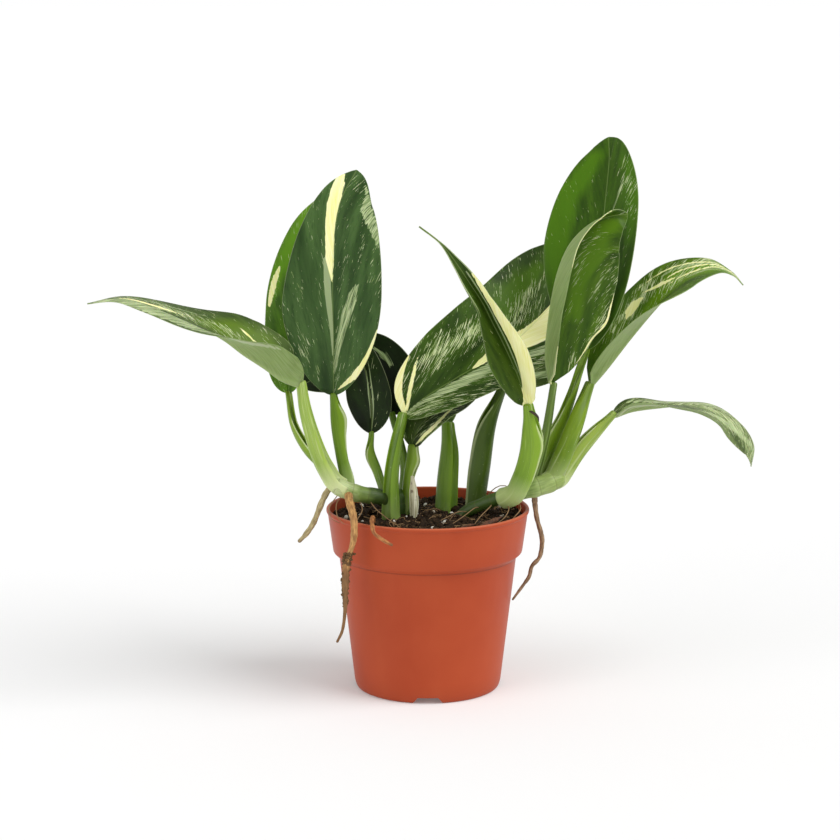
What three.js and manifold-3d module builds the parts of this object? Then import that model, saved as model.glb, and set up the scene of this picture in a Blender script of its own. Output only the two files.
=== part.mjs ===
// A potted variegated monstera standleyana: a plastic nursery pot filled with
// potting soil, short rhizomes that stand in it or hang over its rim, and one
// petiole and one blade for every leaf. Millimetres, +Z up. The origin is the
// centre of the pot's foot, on the surface that it stands on.

import * as THREE from 'three';
import Module from 'manifold-3d';

const wasm = await Module();
wasm.setup();

const DEG = Math.PI / 180;

// Driving dimensions

const POT = {
  height: 108.2,
  rimRadius: 60, // the 12 cm size of the pot
  bandFootRadius: 56,
  shoulderRadius: 52.5,
  footRadius: 43,
  bandFootHeight: 82.4,
  shoulderHeight: 79.5,
  wall: 1.2,
  lip: 2.2,
  floorHeight: 4,
  cornerRadius: 3,
  footRing: 3,
  segments: 60,
};

const NOTCH = { width: 19, topWidth: 12, height: 3.8, count: 4 };
const DRAIN = { radius: 4.5, circle: 25, sides: 12 };
const SOIL = { top: 104.5, lumps: 1.1, floorGap: 0.4, wallGap: 0.4, segments: 40 };
const GAP = 0.3; // clearance between pieces that touch
const BLADE = {
  rows: 13,
  cellsPerHalf: 3,
  thickness: 0.7,
  keel: 0.9, // the midrib's extra depth under the base
  baseHalf: 1.3,
  tipHalf: 0.45,
  waves: 2, // along each margin
};
const PETIOLE = { rings: 9, backPoints: 6 };

// Curves and small helpers

const vector = (point) => new THREE.Vector3(...point);

/** Smooth curve through a few hand-set points. */
const curve = (points) => new THREE.CatmullRomCurve3(points.map(vector), false, 'catmullrom', 0.5);

/** Value at s (0 to 1) of numbers spaced evenly along a piece, smoothly joined. */
function along(values, s) {
  const last = values.length - 1;
  const k = Math.min(Math.floor(s * last), last - 1);
  const t = s * last - k;
  const a = values[k];
  const b = values[k + 1];
  const slopeA = (b - values[Math.max(k - 1, 0)]) / 2;
  const slopeB = (values[Math.min(k + 2, last)] - a) / 2;
  return (
    a * (2 * t ** 3 - 3 * t ** 2 + 1) +
    slopeA * (t ** 3 - 2 * t ** 2 + t) +
    b * (3 * t ** 2 - 2 * t ** 3) +
    slopeB * (t ** 3 - t ** 2)
  );
}

/** Direction at s of directions spaced evenly along a piece. */
const directionAlong = (list, s) =>
  new THREE.Vector3(...[0, 1, 2].map((axis) => along(list.map((d) => d[axis]), s)));

/** Point, tangent, face direction and sideways direction of a path at s. */
function frameAt(path, face, s) {
  const at = path.getPointAt(s);
  const tangent = path.getTangentAt(s);
  const normal = directionAlong(face, s);
  normal.addScaledVector(tangent, -normal.dot(tangent)).normalize();
  const side = new THREE.Vector3().crossVectors(tangent, normal);
  return { at, tangent, normal, side };
}

/** Closed surface from points and triangles, its faces turned outward. */
function closedSurface(points, triangles) {
  let volume = 0;
  for (const [a, b, c] of triangles) {
    volume += points[a].dot(new THREE.Vector3().crossVectors(points[b], points[c]));
  }
  const outward = volume > 0 ? triangles : triangles.map(([a, b, c]) => [a, c, b]);
  const positions = points.flatMap((p) => p.toArray());
  const geometry = new THREE.BufferGeometry();
  geometry.setAttribute('position', new THREE.Float32BufferAttribute(positions, 3));
  geometry.setIndex(outward.flat());
  return geometry;
}

/** Closed body through rings of equal size, with flat ends cut like the section given. */
function loft(rings, startSection, endSection) {
  const size = rings[0].length;
  const triangles = [];
  for (let i = 0; i < rings.length - 1; i += 1) {
    for (let j = 0; j < size; j += 1) {
      const a = i * size + j;
      const b = i * size + ((j + 1) % size);
      triangles.push([a, b, b + size], [a, b + size, a + size]);
    }
  }
  const lastRing = (rings.length - 1) * size;
  for (const face of THREE.ShapeUtils.triangulateShape(startSection, [])) {
    triangles.push([face[0], face[2], face[1]]);
  }
  for (const face of THREE.ShapeUtils.triangulateShape(endSection, [])) {
    triangles.push(face.map((k) => k + lastRing));
  }
  return closedSurface(rings.flat(), triangles);
}

/** Loft of a changing section along a path; section(s) gives sideways and faceward offsets. */
function sweep(points, face, section, ringCount) {
  const path = curve(points);
  const rings = [];
  for (let i = 0; i < ringCount; i += 1) {
    const s = i / (ringCount - 1);
    const { at, normal, side } = frameAt(path, face, s);
    rings.push(section(s).map((p) => at.clone().addScaledVector(side, p.x).addScaledVector(normal, p.y)));
  }
  return loft(rings, section(0), section(1));
}

// Solids that are joined or cut

/** Solid for joining and cutting, from an indexed or a lathe geometry. */
function solidOf(geometry) {
  const position = geometry.getAttribute('position');
  const ids = new Map();
  const vertices = [];
  const remap = [];
  for (let i = 0; i < position.count; i += 1) {
    const p = [position.getX(i), position.getY(i), position.getZ(i)];
    const key = p.map((c) => Math.round(c * 1e4)).join(' ');
    if (!ids.has(key)) {
      ids.set(key, ids.size);
      vertices.push(...p);
    }
    remap.push(ids.get(key));
  }
  const index = geometry.getIndex() ? Array.from(geometry.getIndex().array) : remap.map((_, i) => i);
  const triangles = [];
  for (let i = 0; i < index.length; i += 3) {
    const [a, b, c] = index.slice(i, i + 3).map((k) => remap[k]);
    if (a !== b && b !== c && c !== a) triangles.push(a, b, c);
  }
  return new wasm.Manifold(
    new wasm.Mesh({
      numProp: 3,
      vertProperties: Float32Array.from(vertices),
      triVerts: Uint32Array.from(triangles),
    }),
  );
}

/** Geometry of a joined or cut solid. */
function geometryOf(solid) {
  const { numProp, vertProperties, triVerts } = solid.getMesh();
  const position = [];
  for (let i = 0; i < vertProperties.length; i += numProp) {
    position.push(vertProperties[i], vertProperties[i + 1], vertProperties[i + 2]);
  }
  const geometry = new THREE.BufferGeometry();
  geometry.setAttribute('position', new THREE.Float32BufferAttribute(position, 3));
  geometry.setIndex(Array.from(triVerts));
  return geometry;
}

/** The geometry with the cutters' space taken out of it. */
function cutBy(geometry, cutters) {
  return geometryOf(cutters.reduce((solid, cutter) => solid.subtract(solidOf(cutter)), solidOf(geometry)));
}

// Pot

/** Thin wall turned about the axis: foot ring, tapered body, slanted shoulder and rim band. */
function potGeometry() {
  const { height, rimRadius, bandFootRadius, shoulderRadius, footRadius, wall, lip } = POT;
  const flat = footRadius - 1.6;
  const inner = flat - POT.footRing;
  const bodySlope = (shoulderRadius - footRadius) / POT.shoulderHeight;
  const corner = footRadius + bodySlope * POT.cornerRadius;
  const floorTop = POT.floorHeight + wall;
  const profile = [
    [0, POT.floorHeight],
    [inner - 1, POT.floorHeight],
    [inner, 0],
    [flat, 0],
    [flat + 1.1, 0.6],
    [corner, POT.cornerRadius],
    [shoulderRadius, POT.shoulderHeight],
    [bandFootRadius, POT.bandFootHeight],
    [rimRadius - 0.8, height - 2.6],
    [rimRadius, height - 2],
    [rimRadius, height - 0.5],
    [rimRadius - 0.5, height],
    [rimRadius - lip + 0.5, height],
    [rimRadius - lip, height - 0.5],
    [bandFootRadius - wall, POT.bandFootHeight + 0.6],
    [shoulderRadius - wall, POT.shoulderHeight + 0.4],
    [corner - wall, POT.cornerRadius + wall + 1.2],
    [corner - wall - 1.4, floorTop],
    [0, floorTop],
  ];
  const turned = new THREE.LatheGeometry(profile.map(([r, z]) => new THREE.Vector2(r, z)), POT.segments);
  turned.rotateX(Math.PI / 2);
  return turned;
}

/** Trapezoid cut through the foot ring; the first one faces the front. */
function notchGeometry(k) {
  const half = NOTCH.width / 2;
  const topHalf = NOTCH.topWidth / 2;
  const outline = new THREE.Shape([
    new THREE.Vector2(-half, -1),
    new THREE.Vector2(half, -1),
    new THREE.Vector2(topHalf, NOTCH.height),
    new THREE.Vector2(-topHalf, NOTCH.height),
  ]);
  const notch = new THREE.ExtrudeGeometry(outline, { depth: 14, bevelEnabled: false });
  notch.rotateX(Math.PI / 2);
  notch.translate(0, -POT.footRadius + 9, 0);
  notch.rotateZ((k * 2 * Math.PI) / NOTCH.count);
  return notch;
}

/** Round drain hole through the pot's floor, between two notches. */
function drainGeometry(k) {
  const hole = new THREE.CylinderGeometry(DRAIN.radius, DRAIN.radius, 8, DRAIN.sides);
  hole.rotateX(Math.PI / 2);
  hole.translate(DRAIN.circle, 0, POT.floorHeight);
  hole.rotateZ(((k + 0.5) * 2 * Math.PI) / NOTCH.count);
  return hole;
}

// Soil

/** Height of the lumpy soil surface: waves of 1 to 2 mm over a low dome. */
function soilTop(x, y) {
  const lumps =
    Math.sin(0.21 * x + 1.3) * Math.cos(0.17 * y + 0.4) +
    0.7 * Math.sin(0.43 * x - 0.35 * y) +
    0.5 * Math.cos(0.61 * x + 0.52 * y + 2.1);
  return SOIL.top + SOIL.lumps * lumps - 0.025 * y - 0.0006 * (x * x + y * y);
}

/** Plug of soil that fills the pot, as rings from its underside up the wall and in to the middle. */
function soilGeometry() {
  const wall = POT.wall + SOIL.wallGap;
  const floor = POT.floorHeight + POT.wall + SOIL.floorGap;
  const innerRim = POT.rimRadius - POT.lip - (POT.bandFootRadius - POT.wall);
  const band = innerRim / (POT.height - POT.bandFootHeight);
  const sideRings = [
    [POT.footRadius - wall - 1.6, floor],
    [POT.footRadius - wall, floor + 2.4],
    [POT.shoulderRadius - wall, POT.shoulderHeight],
    [POT.bandFootRadius - wall - 0.3, POT.bandFootHeight + 1],
  ];
  const edgeRadius = POT.bandFootRadius - wall + band * (SOIL.top - 4 - POT.bandFootHeight);
  const topRadii = [edgeRadius, edgeRadius - 9, edgeRadius - 19, edgeRadius - 30, edgeRadius - 42];
  const points = [new THREE.Vector3(0, 0, floor)];
  const ring = (radius, heightAt) => {
    for (let k = 0; k < SOIL.segments; k += 1) {
      const angle = (k * 2 * Math.PI) / SOIL.segments;
      const x = radius * Math.cos(angle);
      const y = radius * Math.sin(angle);
      points.push(new THREE.Vector3(x, y, heightAt(x, y)));
    }
  };
  sideRings.forEach(([radius, z]) => ring(radius, () => z));
  topRadii.forEach((radius) => ring(radius, soilTop));
  points.push(new THREE.Vector3(0, 0, soilTop(0, 0)));
  const ringCount = sideRings.length + topRadii.length;
  const triangles = [];
  for (let k = 0; k < SOIL.segments; k += 1) {
    const next = (k + 1) % SOIL.segments;
    triangles.push([0, 1 + next, 1 + k]);
    for (let i = 0; i < ringCount - 1; i += 1) {
      const a = 1 + i * SOIL.segments + k;
      const b = 1 + i * SOIL.segments + next;
      triangles.push([a, b, b + SOIL.segments], [a, b + SOIL.segments, a + SOIL.segments]);
    }
    const lastRing = 1 + (ringCount - 1) * SOIL.segments;
    triangles.push([lastRing + k, lastRing + next, points.length - 1]);
  }
  return closedSurface(points, triangles);
}

// Stems, roots and petioles

/** Round section of a stem or a root. */
function roundSection(radius, sides) {
  return Array.from({ length: sides }, (_, k) => {
    const angle = (k * 2 * Math.PI) / sides;
    return new THREE.Vector2(radius * Math.cos(angle), radius * Math.sin(angle));
  });
}

/** Stem or root: a round body along its path, with its radii from the start to the end. */
function roundBody({ path, radii, sides, rings }, grow = 0) {
  const face = [[0.1, -1, 0.3], [0.1, -1, 0.3]];
  return sweep(path, face, (s) => roundSection(along(radii, s) + grow, sides), rings);
}

/** Petiole section: a rounded back, and two sheath wings that stand up beside a shallow groove. */
function petioleSection(radius, wing, flare, grow) {
  const back = radius + grow;
  const points = [];
  for (let k = 0; k <= PETIOLE.backPoints; k += 1) {
    const angle = Math.PI * (1 + k / PETIOLE.backPoints);
    points.push(new THREE.Vector2(back * Math.cos(angle), back * Math.sin(angle)));
  }
  const thick = Math.min(1.1, 0.45 * radius) + 2 * grow;
  const tipX = back + flare * wing;
  const tipY = 0.4 * radius + wing + grow;
  const floorX = back - thick;
  points.push(new THREE.Vector2(tipX, tipY), new THREE.Vector2(tipX - thick, tipY));
  points.push(new THREE.Vector2(floorX, 0.3 * radius + grow));
  points.push(new THREE.Vector2(0, 0.18 * radius + grow));
  points.push(new THREE.Vector2(-floorX, 0.3 * radius + grow));
  points.push(new THREE.Vector2(thick - tipX, tipY), new THREE.Vector2(-tipX, tipY));
  return points;
}

/** Petiole from its foot on the stem to its blade, open towards its face direction. */
function petioleBody({ path, face, radii, wings, flare = 0.1 }, grow = 0) {
  const section = (s) => petioleSection(along(radii, s), Math.max(along(wings, s), 0), flare, grow);
  return sweep(path, face, section, PETIOLE.rings);
}

// Leaf blades

/** Share of the greatest width at s: rounded from the base to the widest place, then to the tip. */
function outlineAt(s, leaf, hand) {
  const widest = leaf.widest[hand];
  const [power, root] = s < widest ? leaf.base[hand] : leaf.tip[hand];
  const t = s < widest ? (widest - s) / widest : (s - widest) / (1 - widest);
  return (1 - t ** power) ** (1 / root);
}

/** One row across a blade: upper and lower points, from the left margin to the right one. */
function bladeRow(leaf, path, s) {
  const { at, tangent, normal, side } = frameAt(path, leaf.face, s);
  const least = BLADE.baseHalf + (BLADE.tipHalf - BLADE.baseHalf) * s;
  const upper = [];
  const lower = [];
  for (let j = -BLADE.cellsPerHalf; j <= BLADE.cellsPerHalf; j += 1) {
    const hand = j < 0 ? 0 : 1;
    const sign = j < 0 ? -1 : 1;
    const share = outlineAt(s, leaf, hand);
    const half = Math.max(leaf.halfWidth[hand] * share, least);
    const opening = Math.min(half / 9, 1); // the blade lies flat where it is narrow
    const fold = along(leaf.fold[hand], s) * DEG * opening;
    const curl = (leaf.curl[hand] * DEG * opening) / half || 1e-6;
    const a = (Math.abs(j) / BLADE.cellsPerHalf) * half;
    const angle = fold + curl * a;
    const out = (Math.sin(angle) - Math.sin(fold)) / curl;
    const rise = (Math.cos(fold) - Math.cos(angle)) / curl;
    const phase = 2 * Math.PI * (BLADE.waves * s + 0.3 * hand);
    const ripple = leaf.wave[hand] * share * (a / half) ** 2 * Math.sin(phase);
    const lean = leaf.lean[hand] * DEG;
    const point = at.clone().addScaledVector(side, sign * out * Math.cos(lean));
    point.addScaledVector(tangent, a * Math.sin(lean)).addScaledVector(normal, rise);
    const facing = normal.clone().multiplyScalar(j === 0 ? 1 : Math.cos(angle));
    if (j !== 0) facing.addScaledVector(side, -sign * Math.sin(angle));
    point.addScaledVector(facing, ripple);
    const keel = j === 0 ? BLADE.keel * (1 - s) : 0;
    upper.push(point.clone().addScaledVector(facing, BLADE.thickness / 2));
    lower.push(point.clone().addScaledVector(facing, -BLADE.thickness / 2 - keel));
  }
  return { upper, lower };
}

/** Blade as one thin closed body, split into triangles alike on both faces. */
function bladeGeometry(leaf) {
  const path = curve(leaf.midrib);
  const width = 2 * BLADE.cellsPerHalf + 1;
  const rows = BLADE.rows + 1;
  const upper = [];
  const lower = [];
  for (let i = 0; i < rows; i += 1) {
    const s = (1 - Math.cos((Math.PI * i) / BLADE.rows)) / 2; // closer rows at both ends
    const row = bladeRow(leaf, path, s);
    upper.push(...row.upper);
    lower.push(...row.lower);
  }
  const under = upper.length;
  const triangles = [];
  const quad = (a, b, c, d) => triangles.push([a, b, c], [a, c, d]);
  for (let i = 0; i < rows - 1; i += 1) {
    for (let j = 0; j < width - 1; j += 1) {
      const a = i * width + j;
      const b = a + 1;
      const c = a + width + 1;
      const d = a + width;
      const turned = j < BLADE.cellsPerHalf;
      const halves = turned ? [[a, b, c], [a, c, d]] : [[a, b, d], [b, c, d]];
      for (const [p, q, r] of halves) triangles.push([p, q, r], [p + under, r + under, q + under]);
    }
    const left = i * width;
    const right = left + width - 1;
    quad(left, left + width, left + width + under, left + under);
    quad(right, right + under, right + width + under, right + width);
  }
  const end = (rows - 1) * width;
  for (let j = 0; j < width - 1; j += 1) {
    quad(j, j + under, j + 1 + under, j + 1);
    quad(end + j, end + j + 1, end + j + 1 + under, end + j + under);
  }
  return closedSurface([...upper, ...lower], triangles);
}

// The plant. Paths run from the foot of a piece to its tip, and a face direction says where the
// open side of a petiole or the upper face of a blade looks, at even steps along it. A pair holds
// the left and the right half of a blade, seen from its upper face with the tip up. Fold is how
// far a half rises from the midrib, in degrees, along the blade. Curl is how much more it rises
// at the margin, and lean is how far its rows point towards the tip. Base and tip hold the power
// and the root of the outline's curve, and widest is its place along the midrib.

const ROUND_BASE = [1.8, 1.6];
const FULL_BASE = [3.2, 2.4];
const BLUNT_TIP = [1.6, 1.45];
const SLENDER_TIP = [1.5, 0.9];

const leaves = {
  far_left: {
    midrib: [[-73.3, -24.2, 186.4], [-83, -27, 190], [-93, -29, 197], [-105, -32, 205], [-117, -34, 214],
      [-134, -35, 223], [-156, -34, 232], [-175, -32, 236], [-194, -30, 233]],
    face: [[0, -0.2, 1], [0, -0.1, 1], [0, -0.1, 1]],
    halfWidth: [22, 24], widest: [0.32, 0.34], lean: [0, 0], curl: [-10, -10], wave: [0.5, 0.6],
    base: [FULL_BASE, [2.2, 1.9]], tip: [SLENDER_TIP, SLENDER_TIP],
    fold: [[80, 50, 8, -6, -6], [75, 54, 18, 8, 4]],
  },
  left_back: {
    midrib: [[-82, 8, 175], [-82, 11, 206], [-80, 14, 236], [-73, 18, 268], [-63, 22, 289]],
    face: [[-0.4, -0.9, 0.1], [-0.4, -0.9, 0.1]],
    halfWidth: [15, 24], widest: [0.45, 0.45], lean: [0, 0], curl: [-10, -10], wave: [0.6, 0.6],
    base: [FULL_BASE, ROUND_BASE], tip: [BLUNT_TIP, BLUNT_TIP],
    fold: [[20, 15, 15], [30, 25, 20]],
  },
  left_upright: {
    midrib: [[-55, -9, 176.5], [-54.7, -12.5, 210], [-55, -14, 239], [-54, -12, 268],
      [-50, -8, 290], [-41, -3, 307]],
    face: [[0, -1, 0.1], [0, -1, 0.1]],
    halfWidth: [29.5, 29], widest: [0.4, 0.45], lean: [0, 0], curl: [-8, -8], wave: [0.8, 0.8],
    base: [ROUND_BASE, ROUND_BASE], tip: [[1.4, 1.35], [2.2, 1.9]],
    fold: [[25, 14, 12], [25, 14, 12]],
  },
  left_dark: {
    midrib: [[-21, 4, 163], [-24, 16, 177], [-33, 27, 186], [-47, 33, 187], [-62, 34, 182],
      [-77, 32, 175]],
    face: [[0.6, -0.2, 0.7], [0, -0.6, 1], [-0.4, -0.8, 0.8]],
    halfWidth: [23, 22], widest: [0.5, 0.42], lean: [0, 0], curl: [-10, -10], wave: [0.6, 0.6],
    base: [ROUND_BASE, FULL_BASE], tip: [BLUNT_TIP, BLUNT_TIP],
    fold: [[40, 12, 0], [75, 60, 35]],
  },
  left_small: {
    midrib: [[-33, -4, 153], [-33, -6, 170], [-36, -2, 187], [-40, 4, 203], [-43, 8, 213]],
    face: [[0, -1, 0.2], [0, -1, 0.3]],
    halfWidth: [14, 12.5], widest: [0.36, 0.34], lean: [0, 0], curl: [-6, -6], wave: [0.5, 0.5],
    base: [ROUND_BASE, ROUND_BASE], tip: [BLUNT_TIP, BLUNT_TIP],
    fold: [[15, 10, 10], [15, 10, 10]],
  },
  centre_wide: {
    midrib: [[-14, -14, 166], [-2, -14, 176], [16, -12, 187], [36, -6, 198], [55, 4, 210],
      [72, 18, 225], [86, 29, 240], [98, 38, 256]],
    face: [[-0.26, -0.85, 0.45], [-0.26, -0.85, 0.45], [-0.3, -0.85, 0.4]],
    halfWidth: [37, 28], widest: [0.52, 0.52], lean: [0, 0], curl: [-6, -6], wave: [0.8, 0.8],
    base: [[2, 2.2], [2, 2.2]], tip: [[3, 2.3], BLUNT_TIP],
    fold: [[31, 31, 31, 25], [31, 28, 8, 0]],
  },
  centre_low: {
    midrib: [[-10, -8, 146], [-5, -10, 158], [6, -8, 168], [18, -2, 174], [30, 6, 178]],
    face: [[-0.3, -0.8, 0.5], [-0.2, -0.8, 0.5]],
    halfWidth: [16, 14], widest: [0.42, 0.42], lean: [0, 0], curl: [-6, -6], wave: [0.5, 0.5],
    base: [ROUND_BASE, ROUND_BASE], tip: [BLUNT_TIP, BLUNT_TIP],
    fold: [[20, 15, 10], [30, 30, 20]],
  },
  centre_narrow: {
    midrib: [[57, -36, 175], [51, -41, 193], [43, -45, 211], [36, -49, 225], [30, -53, 237],
      [23, -57, 248], [16, -62, 259], [7, -67, 271], [-5, -73, 281]],
    face: [[-0.1, -1, -0.1], [0.15, -1, 0], [0.3, -1, 0]],
    halfWidth: [16, 17.5], widest: [0.28, 0.3], lean: [0, 0], curl: [-10, -10], wave: [0.5, 0.5],
    base: [ROUND_BASE, ROUND_BASE], tip: [[1.4, 0.45], [1.4, 0.45]],
    fold: [[46, 46, 58, 80, 78], [52, 58, 66, 78, 76]],
  },
  right_tall: {
    midrib: [[92, -5, 203], [96, -6, 232], [100, -1, 260], [103, 8, 286], [106, 19, 311],
      [106, 27, 324]],
    face: [[-0.45, -0.89, 0], [-0.45, -0.89, 0.1]],
    halfWidth: [33, 27], widest: [0.46, 0.52], lean: [0, 0], curl: [-8, -8], wave: [0.8, 0.8],
    base: [ROUND_BASE, ROUND_BASE], tip: [[1.75, 1.6], [1.8, 1.7]],
    fold: [[25, 25, 22], [25, 25, 22]],
  },
  right_front: {
    midrib: [[72, -16, 184.5], [69, -20, 201], [69.5, -22, 217], [71.5, -24, 236], [75, -27, 253],
      [81, -29, 267], [90.5, -30, 277], [101.5, -29.5, 282.5], [113, -28, 284]],
    face: [[0.83, -0.55, 0], [0.83, -0.55, 0], [0.7, -0.65, -0.25]],
    halfWidth: [19, 36], widest: [0.42, 0.42], lean: [0, 22], curl: [-8, -8], wave: [0.7, 0.3],
    base: [ROUND_BASE, FULL_BASE], tip: [BLUNT_TIP, [1.5, 1.4]],
    fold: [[57, 57, 57], [57, 57, 50]],
  },
  right_arched: {
    midrib: [[95, 6, 181], [105, 6, 192], [120, 8, 210], [136, 11, 228], [151, 16, 242],
      [168, 20, 248], [180, 24, 244], [187, 26, 237]],
    face: [[-0.8, -0.16, 0.55], [-0.6, -0.2, 0.75], [-0.1, -0.25, 0.97], [0.4, -0.2, 0.9]],
    halfWidth: [25, 25], widest: [0.4, 0.4], lean: [0, 0], curl: [-10, -10], wave: [0.7, 0.7],
    base: [ROUND_BASE, ROUND_BASE], tip: [SLENDER_TIP, SLENDER_TIP],
    fold: [[50, 36, 26, 15], [55, 40, 15, 5]],
  },
  right_low: {
    midrib: [[109, -2, 164], [120, 0, 167], [137, 4, 168], [155, 9, 168], [172, 14, 164],
      [187, 18, 154], [195, 21, 141], [194, 23, 128]],
    face: [[0, -0.1, 1], [0, -0.1, 1], [0.3, -0.1, 1], [1, -0.2, 0.3]],
    halfWidth: [11, 21], widest: [0.36, 0.5], lean: [0, 0], curl: [-8, -8], wave: [1, 1],
    base: [FULL_BASE, ROUND_BASE], tip: [[2.2, 1.3], [2.4, 1.3]],
    fold: [[32, 4, 0, -5], [50, 10, -25, -30]],
  },
  back_right: {
    midrib: [[45.5, 22.5, 177], [58, 27, 183], [72, 34, 190], [84, 42, 197], [93, 51, 202]],
    face: [[-0.2, -0.8, 0.6], [-0.2, -0.7, 0.7]],
    halfWidth: [16, 17], widest: [0.42, 0.46], lean: [0, 0], curl: [-8, -8], wave: [0.5, 0.5],
    base: [ROUND_BASE, ROUND_BASE], tip: [BLUNT_TIP, BLUNT_TIP],
    fold: [[25, 20, 10], [25, 15, 10]],
  },
  back_left: {
    midrib: [[12, 20, 154], [5, 38, 163], [-2, 56, 167], [-8, 74, 165]],
    face: [[0, -0.5, 1], [0, 0, 1]],
    halfWidth: [15, 15], widest: [0.42, 0.42], lean: [0, 0], curl: [-8, -8], wave: [0.5, 0.5],
    base: [ROUND_BASE, ROUND_BASE], tip: [BLUNT_TIP, BLUNT_TIP],
    fold: [[30, 20, 10], [30, 20, 10]],
  },
};

// Radii and wing heights are spaced evenly from the foot to the blade.
const petioles = {
  far_left: {
    path: [[-56.5, -24.5, 130.5], [-62, -25, 141], [-66.5, -25, 154], [-70.5, -25, 170], [-72.7, -24, 185]],
    face: [[0.8, -0.3, 0.5], [0.8, 0, 0.5]], radii: [5, 4.6, 4.2, 3.8, 3.3], wings: [1, 0.8, 0.4, 0],
  },
  left_back: {
    path: [[-59, -14, 133], [-71, -8, 144], [-79, 2, 157], [-82, 8, 174]],
    face: [[0.6, -0.6, 0.5], [0.2, -0.9, 0.2]], radii: [2.6, 2.4, 2.2, 2], wings: [2.5, 2.5, 2, 0],
  },
  left_upright: {
    path: [[-47.5, -19, 128.5], [-51, -15, 143], [-54, -11, 160], [-55, -9, 175.5]],
    face: [[1, 0, 0.1], [1, 0, 0], [0.9, -0.3, 0]],
    radii: [3.4, 3, 2.7, 2.2], wings: [2, 1.5, 3, 5, 0],
  },
  left_dark: {
    path: [[-15, -6, 118], [-14, -2, 132], [-17, 1, 148], [-21, 4, 162]],
    face: [[0.6, -0.6, 0.2], [0.7, -0.5, 0.3]], radii: [2.6, 2.4, 2.2, 2], wings: [1, 1, 0.6, 0],
  },
  left_small: {
    path: [[-25.5, -13, 120], [-29, -8, 132], [-33, -5, 143], [-33, -4, 152]],
    face: [[-1, 0, 0], [-1, 0, 0], [-0.4, -0.9, 0]], radii: [2.2, 2, 1.8, 1.6], wings: [1, 2, 3, 0],
  },
  centre_wide: {
    path: [[-21, -22, 110], [-20.5, -20.5, 132], [-18, -17, 150], [-14.6, -14, 164.8]],
    face: [[-0.6, -0.6, 0.3], [-0.4, -0.8, 0.3]], radii: [4.9, 3.9, 3.5, 3], wings: [1, 1.5, 1, 0],
  },
  centre_low: {
    path: [[-13, -14, 112], [-12.5, -13, 124], [-11, -10, 136], [-10, -8, 145]],
    face: [[0.9, -0.4, 0], [0.9, -0.4, 0.1]], radii: [2.6, 2.5, 2.3, 1.9], wings: [1, 1, 1.5, 3, 5, 3],
  },
  centre_narrow: {
    path: [[51.7, -25, 124.5], [55.5, -28, 136], [57.8, -31, 148.4], [58.3, -34, 163.5],
      [57.3, -35.8, 174]],
    face: [[1, 0.1, 0], [1, 0, 0], [0.9, -0.4, 0]], radii: [5.6, 5.3, 5, 4.4, 3],
    wings: [1, 2, 3, 4.5, 2, 0],
  },
  right_tall: {
    path: [[66, -6, 129], [73, 2, 143], [80, 6, 158], [85, 6, 174], [88.5, 0, 189], [92, -5, 202]],
    face: [[-0.9, -0.4, 0.2], [-0.9, -0.4, 0.2], [0, -1, 0]],
    radii: [3.2, 3, 2.6, 2.3], wings: [1, 4, 2, 0, 0],
  },
  right_front: {
    path: [[61.5, -13, 128.5], [65.4, -14, 142], [69.2, -15, 160], [72.6, -16, 183]],
    face: [[0.8, -0.5, 0], [0.8, -0.5, 0]], radii: [2.6, 2.4, 2.3, 2.1], wings: [1, 0.8, 0.4, 0],
  },
  right_arched: {
    path: [[75, -11, 130.5], [80, -9, 142], [86, -5, 157], [91, 1, 170], [95, 5.6, 180]],
    face: [[-0.8, 0.5, 0.2], [-0.8, 0.3, 0.3], [-0.8, -0.2, 0.5]], radii: [5.2, 5.1, 4.5, 3],
    wings: [1, 1, 1, 0],
  },
  right_low: {
    path: [[80, -3, 126.5], [88.5, 0.5, 139], [98, 0, 151], [108.2, -2, 163.5]],
    face: [[-0.6, -0.2, 0.8], [-0.5, -0.2, 0.85]], radii: [4, 3.6, 3, 2.3], wings: [1, 2, 3, 2, 0],
  },
  back_right: {
    path: [[29, 16, 104], [33, 17, 129], [37, 19, 154], [44.7, 21.5, 176]],
    face: [[-1, 0, 0], [-0.8, 0, 0.3], [-0.2, -0.5, 0.8]], radii: [5, 4.6, 4, 2.6], wings: [3, 5, 4, 0],
  },
  back_left: {
    path: [[10, 8, 100], [11, 12, 121], [12.5, 16, 139], [12, 19.5, 153.3]],
    face: [[1, -0.5, 0], [0.9, -0.5, 0.2]], radii: [6.2, 5.8, 5.2, 3.8], wings: [1, 1.5, 1, 0],
  },
};

// The dry papery sheath of a petiole that has gone.
const drySheath = {
  path: [[-8.5, -21, 104], [-7.5, -21, 113], [-8, -21, 121], [-9, -20, 131]],
  face: [[-0.6, -0.8, 0], [-0.6, -0.8, 0]], radii: [1.6, 2.2, 2.1, 0.9], wings: [0.5, 1.5, 1, 0],
};

const stems = {
  left: {
    path: [[-19, -14, 112], [-27, -19.5, 118], [-36, -22.5, 120], [-45, -24.5, 122.5], [-54, -25, 126.5]],
    radii: [5, 4.8, 4.8, 5.2, 4.8],
  },
  centre: { path: [[-17, -12, 94], [-17, -12, 108], [-17, -12, 118]], radii: [6.5, 6.5, 5.6] },
  right: {
    path: [[15, -10, 96], [21, -12, 106.5], [31, -14, 112.3], [42, -16, 117], [54, -17, 121.3],
      [65.5, -15, 124], [77, -11, 127.5]],
    radii: [3.6, 3.7, 3.8, 4.4, 5.4, 6, 5.4],
  },
};

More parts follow.
